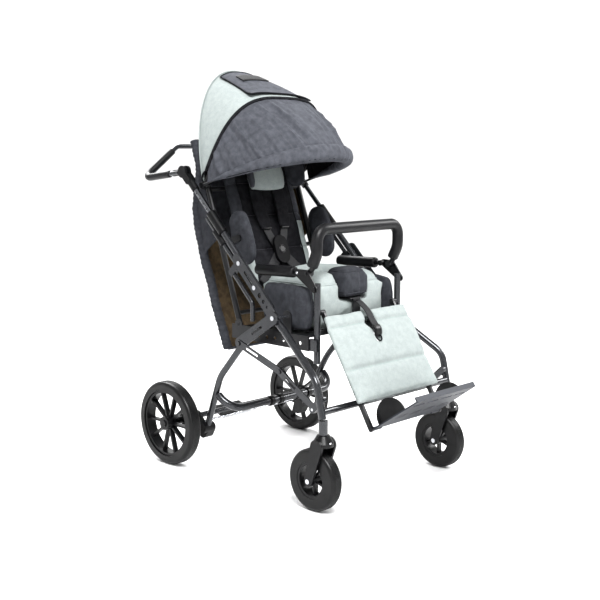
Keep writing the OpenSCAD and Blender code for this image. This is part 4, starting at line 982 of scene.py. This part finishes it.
class BUGGY_OT_pouch(bpy.types.Operator):
    """Hangs the pouch of slate suede with its tan lining behind the backrest."""

    bl_idname = "buggy.pouch"
    bl_label = "Hang the back pouch"

    def execute(self, context):
        rows = np.array([[-62, 104], [30, 110], [120, 115], [240, 117], [330, 110], [402, 98], [460, 66],
                         [505, 40], [520, 34.5], [560, 34], [604, 33]], float)
        es = np.linspace(rows[0, 0], rows[-1, 0], 60)
        ms = np.interp(es, rows[:, 0], rows[:, 1])
        us = np.linspace(-1, 1, 45)
        outer, inner = [], []
        for e, m in zip(es, ms):
            slack = np.clip((505 - e) / 200, 0, 1)
            row_out, row_in = [], []
            for u in us:
                ripple = slack * (2.0 * math.sin(5.2 * u + e * 0.021) + 1.4 * math.sin(e * 0.047 + 2.4 * u)
                                  + 1.2 * math.sin(11 * u + 1.3))
                out = m - 16 * u * u - 2.0 + ripple - 2.0 * slack
                row_out.append(on_back(e, out, 199 * u))
                row_in.append(on_back(e, out - 4.5, 199 * u))
            outer.append(row_out)
            inner.append(row_in)
        pouch = shell("back_pouch_sewn", outer, inner, slate(), lining())
        # Above 300 mm up the back the lining's faces take the slate instead of tan: painted shade for the dark
        # inside of the pouch seen past the back cushion.
        tan_top = on_back(300, 0)
        for f in pouch.data.polygons:
            if f.material_index == 1 and (np.array(f.center) - tan_top) @ BACK_UP > 0:
                f.material_index = 0
        carry(pouch, "backrest", "grey_suede", "back_pouch")
        # The side hems take the darkened slate: painted shade, the hems lying in shadow.
        for label, i in (("right", 0), ("left", -1)):
            line = spaced([(np.array(a[i]) + np.array(b[i])) / 2 for a, b in zip(outer, inner)], count=260)
            puckers = 0.0145 + 0.0008 * np.sin(np.arange(260) * 1.05) + 0.0005 * np.sin(np.arange(260) * 0.37)
            hem = tube("pouch_hem_" + label, line, puckers, shaded_slate(), sides=16, dome=0.006)
            carry(hem, "backrest", "grey_suede")
        line = [(np.array(a) + np.array(b)) / 2 for a, b in zip(outer[0], inner[0])]
        hem = tube("pouch_hem_low", line, 0.0045, slate(), sides=10, dome=0.003)
        carry(hem, "backrest", "grey_suede")
        for label, sign in (("right", -1), ("left", 1)):
            self.gusset(label, sign, rows)
        return {"FINISHED"}

    def gusset(self, label, sign, rows):
        """Closes the top of the pouch's side, from the back tube to the pouch's hem."""
        outer, inner = [], []
        for e in np.linspace(276, 600, 33):
            edge = np.interp(e, rows[:, 0], rows[:, 1]) - 20
            out, into = [], []
            for f in np.linspace(0, 1, 13):
                slack = 7 * math.sin(math.pi * f) * (1 + 0.35 * math.sin(e * 0.06 + 3 * f))
                drop = 30 * f * (1 - (e - 276) / 324)
                m = 11 + (max(edge, 15) - 11) * f
                out.append(on_back(e - drop, m, sign * (205 - 5 * f + slack)))
                into.append(on_back(e - drop, m, sign * (202.6 - 5 * f + slack)))
            outer.append(out)
            inner.append(into)
        # The gusset's outside takes the darkened slate: painted shade.
        side = shell("pouch_gusset_" + label, outer, inner, shaded_slate(), lining())
        carry(side, "backrest", "grey_suede")


# Canopy, in millimetres from its hinges

FRONT_BOW = (229.0, 357.0, 2.2)
MID_BOW = (225.0, 305.0, 3.2)
REAR_BOW = (216.0, 378.0, 2.1)
TAIL = (216.0, 168.0, 2.1)
FRONT_A, MID_A, REAR_A, TAIL_A = 21.0, 62.5, 104.0, 98.0


def bow(shape, angle, s):
    w, r, n = shape
    c, k = np.cos(np.pi * s), np.sin(np.pi * s)
    x = -w * np.sign(c) * np.abs(c) ** (2 / n)
    reach = r * np.abs(k) ** (2 / n)
    a = math.radians(angle)
    return np.stack([x, -reach * math.cos(a), reach * math.sin(a)], -1)


def rear_skin(v, s):
    mid, rear, tail = bow(MID_BOW, MID_A, s), bow(REAR_BOW, REAR_A, s), bow(TAIL, TAIL_A, s)
    if v <= 1:
        return (mid + (rear - mid) * v) * (1 + 8 / 305 * math.sin(math.pi * v))
    return rear + (tail - rear) * (v - 1)


def hood(grid):
    return np.asarray(grid) * MM + HOOD


def drawn_in(p, t):
    return p * np.array([1 - t / 225, 1 - t / 305, 1 - t / 305])


class BUGGY_OT_canopy(bpy.types.Operator):
    """Sews the canopy: mint rear dome, gathered front, padded brim, top flap and bindings."""

    bl_idname = "buggy.canopy"
    bl_label = "Sew the canopy"

    def execute(self, context):
        self.rear()
        self.front(context.scene.buggy_sewing)
        self.brim()
        return {"FINISHED"}

    def rear(self):
        s = 0.02 + 0.96 * np.linspace(0, 1, 81)
        vs = np.concatenate([np.linspace(0, 1, 25), np.linspace(1.1, 2, 9)])
        outer, inner = [], []
        for v in vs:
            sag = 1 - 0.006 * math.sin(math.pi * min(v, 1)) * (0.6 + 0.4 * np.cos(9 * math.pi * s))
            p = rear_skin(v, s) * sag[:, None]
            outer.append(hood(p))
            inner.append(hood(drawn_in(p, 2.2) - [0, 2.2 * max(0, v - 1) ** 0.5, 0]))
        dome = shell("canopy_rear_sewn", outer, inner, mint(), slate())
        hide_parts("canopy_rear")
        trim = []
        for label, v, radius, cloth in (("front", 0.0, 0.0054, black_cloth()), ("rear", 1.0, 0.0018, mint())):
            line = hood(rear_skin(v, s) * 1.004)
            trim.append(tube("canopy_binding_" + label, line, radius, cloth, sides=10))
        for end, label in ((0, "right"), (-1, "left")):
            p = np.array([rear_skin(v, s)[end] for v in vs[:25]])
            trim.append(tube("canopy_side_hem_" + label, hood(p), 0.0024, black_cloth(), sides=8))
        carry(trim[0], "canopy_middle", "webbing")

        us = np.linspace(0, 1, 29)
        outer, inner = [], []
        for v in 0.1 + 0.8 * np.linspace(0, 1, 25):
            p = rear_skin(v, 0.385 + 0.275 * us)
            curl = 9 * math.exp(-((v - 0.1) / 0.07) ** 2) * (0.25 + 0.75 * np.abs(2 * us - 1) ** 2)
            wave = 0.8 * np.sin(7 * us + 9 * v) + 0.8 + curl
            outer.append(hood(drawn_in(p, -3.0) * (1 + wave / 305)[:, None]))
            inner.append(hood(drawn_in(p, -0.7) * (1 + wave / 305)[:, None]))
        flap = shell("canopy_flap_sewn", outer, inner, slate(), slate())
        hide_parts("canopy_flap")
        ring = np.concatenate([np.array(outer)[0], np.array(outer)[1:, -1], np.array(outer)[-1, -2::-1],
                               np.array(outer)[-2:0:-1, 0]])
        hem = tube("canopy_flap_hem", ring, 0.0022, black_cloth(), sides=8, closed=True)
        patch_out, patch_in = [], []
        for v in np.linspace(0.5, 0.68, 9):
            p = rear_skin(v, np.linspace(0.435, 0.535, 13))
            patch_out.append(hood(drawn_in(p, -8.0)))
            patch_in.append(hood(drawn_in(p, -5.0)))
        patch = shell("canopy_plain_patch", patch_out, patch_in, webbing(), webbing())
        for made in (dome, flap, hem, patch, *trim[1:]):
            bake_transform(made)

    def front(self, sewing):
        s = 0.022 + 0.956 * np.linspace(0, 1, 241)
        draw = np.random.default_rng(11)
        shift = np.cumsum(draw.uniform(-0.5, 0.5, 241)) * 0.05
        strength = 0.55 + 0.45 * np.sin(np.cumsum(draw.uniform(0, 0.3, 241)))
        outer, inner = [], []
        low, mid = bow(FRONT_BOW, FRONT_A, s), bow(MID_BOW, MID_A, s)
        for v in np.linspace(0, 1, 31):
            p = low + (mid - low) * (-0.055 + 1.047 * v)
            turn = 2 * math.pi * sewing.folds * s + shift * 8 + 0.8 * np.sin(3.1 * v + 5 * shift)
            main = sewing.fold_depth / MM * strength * (1 - 2 * np.abs(np.sin(turn / 2)) ** 0.7)
            gather = 3.6 * math.exp(-v / 0.16) * np.sin(2 * math.pi * 46 * s + shift * 9)
            hang = 2.6 * math.exp(-(1 - v) / 0.2) * np.sin(2 * math.pi * 31 * s + shift * 11)
            crease = 1.3 * np.sin(2 * math.pi * 29 * s + shift * 14 + 2.0 * v)
            slack = math.sin(math.pi * v)
            k = (main + crease) * slack ** 0.6 + 12 * np.sin(math.pi * s) * slack
            k = k + (gather + hang) * math.sin(math.pi * min(v + 0.06, 1)) ** 0.5
            p = p * (1 + k / 305)[:, None]
            outer.append(hood(p))
            inner.append(hood(drawn_in(p, 2.2)))
        cloth = shell("canopy_front_sewn", outer, inner, slate(), black_cloth())
        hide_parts("canopy_front")
        # The middle bow turns 32 degrees while the brim turns 70, so the cloth there is 0.47 of the way in.
        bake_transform(cloth)

    def brim(self):
        s = 0.032 + 0.936 * np.linspace(0, 1, 201)
        turns = np.linspace(0, 2 * math.pi, 23)[:-1]
        draw = np.random.default_rng(5)
        lumps = np.convolve(draw.normal(0, 1, 201), np.hanning(7), "same") * 0.5
        rings = []
        for i, t in enumerate(s):
            ends = min(1.0, min(i, 200 - i) / 14 * 0.6 + 0.4)
            ring = []
            for g in turns:
                pucker = 1.7 * math.sin(2 * math.pi * 46 * t + 1.6 * lumps[i]) + 1.1 * lumps[i]
                pucker *= 0.35 + 0.65 * max(0, math.sin(g))
                up = 16.6 + 4.5 * ends * math.sin(g)
                p = bow(FRONT_BOW, up, np.array([t]))[0]
                thick = (18 * ends + 1.3 * pucker) * math.copysign(abs(math.cos(g)) ** 0.9, math.cos(g))
                ring.append(drawn_in(p, 1.5 - thick))
            rings.append(hood(ring))
        roll = loft("canopy_brim_sewn", rings, slate())
        plump(roll, "canopy_brim", "grey_suede", 0.7, "canopy_brim")
        line = [drawn_in(bow(FRONT_BOW, 13.4, np.array([q]))[0], -8.6) for q in s[14:-14]]
        cord = tube("canopy_brim_cord_low", hood(line), 0.0022, black_cloth(), sides=8, dome=0.002)
        carry(cord, "canopy_brim", "webbing")
        for side, sign in SIDES:
            a = math.radians(17)
            reach = 178.0 * 0.45
            end = bow(FRONT_BOW, 17, np.array([0.925 if sign > 0 else 0.075]))[0]
            points = [[sign * 224.2, 0, 0], [sign * 224.2, -reach * math.cos(a), reach * math.sin(a)],
                      end * 0.985]
            arm = tube("canopy_bow_arm_" + side, hood(curve_through(points, 24)), 0.004, black_coat(),
                       sides=12, dome=0.002)
            carry(arm, "canopy_brim", "black_metal")
            eye = tube("canopy_bow_eye_" + side, hood([[sign * 220.1, 0, 0], [sign * 228.3, 0, 0]]), 0.011,
                       black_plastic(), sides=28, dome=0.0012)
            carry(eye, "canopy_brim", "black_plastic")


class BUGGY_OT_leg_rest(bpy.types.Operator):
    """Sews the calf pad with its channels and keyhole, and threads the abductor strap."""

    bl_idname = "buggy.leg_rest"
    bl_label = "Sew the leg rest"

    def execute(self, context):
        sewing = context.scene.buggy_sewing
        pad = stuffed("calf_pad", "calf_pad_sewn", mint(), inset=0.002, cap=0.004, rounds=3, grain=0.0044)
        rumple(pad, 0.08, 0.0022, 8)
        rumple(pad, 0.03, 0.0007, 9)

        def faces_front(co):
            return 1.0 * (((co - KNEE) @ SHIN_FRONT) > 0.019)

        for k, s in enumerate((60, 194)):
            sewn_seam(pad, "calf_channel_%d" % k, on_shin(s, 0), SHIN, "leg_rest", "mint_suede",
                      mint_thread(), sewing.seam, 0.007, keep=faces_front)
        sewn_seam(pad, "calf_edge_cord", on_shin(0, 12), SHIN_FRONT, "leg_rest", "mint_suede", mint(),
                  0.0006, 0.003, cord=0.0015)
        plump(pad, "leg_rest", "mint_suede", 0.5, "calf_pad")
        ring = []
        for g in np.linspace(0, 2 * math.pi, 41)[:-1]:
            ring.append(on_shin(114 + 10.5 * math.sin(g), 27, 10.5 * math.cos(g)))
        eyelet = tube("calf_keyhole_binding", ring, 0.0022, black_cloth(), sides=8, closed=True)
        carry(eyelet, "leg_rest", "webbing")
        skin = surface_of(pad)

        def laid(s, lift=2.6):
            found = [skin.ray_cast(Vector(on_shin(s, 80, x)), Vector(-SHIN_FRONT))[0] for x in (-34, 34)]
            heights = [(np.array(p) - KNEE) @ SHIN_FRONT / MM for p in found if p is not None]
            return on_shin(s, max(heights, default=27.0) + lift)

        points = [from_axle(0, -542.5, 556), from_axle(0, -552, 556), laid(24), laid(52), laid(88),
                  on_shin(110, 22)]
        path = curve_through(points, 40)
        strap = band("abductor_strap", path, [ACROSS] * 40, 0.026, 0.003, webbing())
        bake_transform(strap)
        clip = band("abductor_strap_end", curve_through([laid(76, 4.2), laid(90, 4.6), on_shin(105, 29)], 16),
                    [ACROSS] * 16, 0.03, 0.007, black_plastic())
        carry(clip, "leg_rest", "black_plastic")
        return {"FINISHED"}


class BUGGY_OT_foam(bpy.types.Operator):
    """Fits the foam of the bumper bar, the handle grips and the armrests."""

    bl_idname = "buggy.foam"
    bl_label = "Fit the foam"

    def execute(self, context):
        low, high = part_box("bumper_foam")
        x = high[0] - 0.017
        y = (low[1] + high[1]) / 2
        top = high[2] - 0.017
        foot = from_axle(0, -528, 675)
        low_l, low_r = [np.array([q, foot[1], foot[2]]) for q in (-x, x)]
        legs = [curve_through([low_l, [-x, y + 0.003, low[2] + 0.004], [-x, y, low[2] + 0.025]], 12)]
        arch = bends([[-x, y, low[2] + 0.03], [-x, y, top], [x, y, top], [x, y, low[2] + 0.03]], 0.036, 14)
        legs.append(curve_through([[x, y, low[2] + 0.025], [x, y + 0.003, low[2] + 0.004], low_r], 12))
        line = np.concatenate([legs[0], arch, legs[1]])
        bar = tube("bumper_foam_sleeve", line, 0.017, foam_skin(), sides=32, dome=0.003)
        plump(bar, "bumper", "foam", 0.9, "bumper_foam")

        knuckle = pivot("handle_tilt")
        for side, sign in SIDES:
            start = knuckle + np.array([sign * 0.246, 0, 0])
            corner = start + np.array([0, 0.208, -0.024])
            cross = knuckle + np.array([sign * 0.106, 0.208, 0.08])
            line = bends([start + (corner - start) * 0.34, corner, corner + (cross - corner) * 0.86],
                         0.034, 12)
            grip = tube("handle_grip_" + side, line, 0.012, foam_skin(), sides=28, dome=0.003)
            plump(grip, "handle", "foam", 0.9, "handle_grips")

            pin = pivot("arm_%s_lift" % side)
            arm = pin + np.array([sign * 0.184, 0, 0])
            end = arm + np.array([0, 0.178, -0.005])
            d = (end - arm) / np.linalg.norm(end - arm)
            line = [arm + (end - arm) * k for k in np.linspace(0.12, 1.03, 12)]
            foam = tube("armrest_foam_" + side, line, 0.017, foam_skin(), sides=32, dome=0.006)
            plump(foam, "arm_" + side, "foam", 0.9, "armrest_" + side)
            stub = tube("armrest_tube_" + side, [arm, arm + d * 0.012, arm + d * 0.03], 0.007, black_coat(),
                        sides=20)
            carry(stub, "arm_" + side, "foam")
            out = ACROSS * sign
            boss = tube("armrest_boss_" + side, [arm - out * 0.009, arm, arm + out * 0.009], 0.009,
                        black_plastic(), sides=28, dome=0.0015)
            carry(boss, "arm_" + side, "foam")
            bolt = tube("armrest_pin_" + side, [arm + out * 0.009, arm + out * 0.0168], 0.004, bolt_steel(),
                        sides=16, dome=0.0008)
            carry(bolt, "arm_" + side, "foam")
        return {"FINISHED"}


class BUGGY_OT_fittings(bpy.types.Operator):
    """Adds the adjusting holes of the upper tubes and the buckle's release ring."""

    bl_idname = "buggy.fittings"
    bl_label = "Add small fittings"

    def execute(self, context):
        slide = np.array(JOINTS["handle_height"]["axis"])
        knuckle = pivot("handle_tilt")
        for side, sign in SIDES:
            for k in range(4):
                at = knuckle - slide * (0.094 + 0.022 * k) + ACROSS * sign * 0.246
                line = [at + ACROSS * sign * 0.0074, at + ACROSS * sign * 0.0081]
                hole = tube("adjusting_hole_%s_%d" % (side, k), line, 0.0028, black_plastic(), sides=18)
                carry(hole, "telescope", "black_plastic")
        at = on_back(214, CUSHION_FACE - 0.4 - 3 - 0.4 - 13)
        around = np.linspace(0, 2 * math.pi, 49)[:-1]
        ring = [at + ACROSS * 0.0125 * math.cos(g) + BACK_UP * 0.0125 * math.sin(g) for g in around]
        rim = tube("buckle_release_ring", ring, 0.0014, black_coat(), sides=8, closed=True)
        carry(rim, "backrest", "black_plastic")
        return {"FINISHED"}


class BUGGY_OT_stage(bpy.types.Operator):
    """Sets the floor, the soft studio light and the camera."""

    bl_idname = "buggy.stage"
    bl_label = "Set the stage"

    def execute(self, context):
        scene = context.scene
        stage = scene.buggy_stage
        rings = [(0.02, 0.0), (1.5, 0.0), (3.0, 0.0), (4.6, 0.0)]
        rings += [(4.6 + 2.4 * math.sin(a), 2.4 - 2.4 * math.cos(a))
                  for a in np.linspace(0.08, math.pi / 2, 20)]
        rings += [(7.0, 3.4)]
        around = np.linspace(0, 2 * math.pi, 97)[:-1]
        bowl = [[(r * math.cos(g), r * math.sin(g), z - 0.0012) for g in around] for r, z in rings]
        floor = loft("studio_floor", bowl, caps=False)
        f = Finish("studio_floor")
        tone = list(stage.floor)
        haze = f.grain(1.5, 2.0)
        floor.data.materials.append(f.done(f.ramp(haze, [v * 0.985 for v in tone], tone),
                                           f.range(haze, 0.6, 0.7), f.raise_by(haze, 0.02, 0.001)))
        scene.world = bpy.data.worlds.new("studio")
        scene.world.use_nodes = True
        sky = scene.world.node_tree.nodes["Background"]
        sky.inputs["Color"].default_value = (1, 1, 1, 1)
        sky.inputs["Strength"].default_value = stage.sky
        for name, place, size, share in (("key", (-1.6, -2.2, 3.6), 1.8, 1.0),
                                         ("fill", (2.8, -1.6, 2.6), 1.4, 0.35),
                                         ("back", (0.8, 2.8, 3.2), 2.4, 0.7)):
            data = bpy.data.lights.new(name, "AREA")
            data.energy = stage.key * share
            data.size = size
            lamp = bpy.data.objects.new(name, data)
            lamp.location = place
            lamp.rotation_euler = (Vector((0, 0, 0.6)) - Vector(place)).to_track_quat("-Z", "Y").to_euler()
            scene.collection.objects.link(lamp)
        scene.view_settings.view_transform = "Standard"
        scene.view_settings.look = "Medium High Contrast"
        scene.view_settings.exposure = 0.05
        data = bpy.data.cameras.new("photo_camera")
        data.lens, data.sensor_width = stage.lens, 36
        data.clip_start, data.clip_end = 0.05, 60
        camera = bpy.data.objects.new("photo_camera", data)
        eye = Vector((-2.313, AXLE[1] - 2.570, 1.006))
        aim = Vector((0, AXLE[1] - 0.29963, 0.5357))
        camera.location = eye
        camera.rotation_mode = "QUATERNION"
        camera.rotation_quaternion = (aim - eye).to_track_quat("-Z", "Y")
        scene.collection.objects.link(camera)
        scene.camera = camera
        return {"FINISHED"}


STEPS = (BUGGY_OT_finish_frame, BUGGY_OT_wheel_detail, BUGGY_OT_seat, BUGGY_OT_back, BUGGY_OT_harness,
         BUGGY_OT_pouch, BUGGY_OT_canopy, BUGGY_OT_leg_rest, BUGGY_OT_foam, BUGGY_OT_fittings, BUGGY_OT_stage)


class BUGGY_PT_panel(bpy.types.Panel):
    """Lists the steps that dress the buggy."""

    bl_idname = "BUGGY_PT_panel"
    bl_label = "Buggy"
    bl_space_type = "VIEW_3D"
    bl_region_type = "UI"
    bl_category = "Buggy"

    def draw(self, context):
        for group in (context.scene.buggy_cloth, context.scene.buggy_sewing, context.scene.buggy_stage):
            for key in group.__annotations__:
                self.layout.prop(group, key)
        for step in STEPS:
            self.layout.operator(step.bl_idname)


CLASSES = (BuggyCloth, BuggySewing, BuggyStage, *STEPS, BUGGY_PT_panel)


def register():
    for c in CLASSES:
        bpy.utils.register_class(c)
    bpy.types.Scene.buggy_cloth = bpy.props.PointerProperty(type=BuggyCloth)
    bpy.types.Scene.buggy_sewing = bpy.props.PointerProperty(type=BuggySewing)
    bpy.types.Scene.buggy_stage = bpy.props.PointerProperty(type=BuggyStage)


def unregister():
    for key in ("buggy_cloth", "buggy_sewing", "buggy_stage"):
        delattr(bpy.types.Scene, key)
    for c in reversed(CLASSES):
        bpy.utils.unregister_class(c)


def main():
    register()
    bpy.ops.buggy.finish_frame()
    bpy.ops.buggy.wheel_detail()
    bpy.ops.buggy.seat()
    bpy.ops.buggy.back()
    bpy.ops.buggy.harness()
    bpy.ops.buggy.pouch()
    bpy.ops.buggy.canopy()
    bpy.ops.buggy.leg_rest()
    bpy.ops.buggy.foam()
    bpy.ops.buggy.fittings()
    bpy.ops.buggy.stage()


if __name__ == "__main__":
    main()
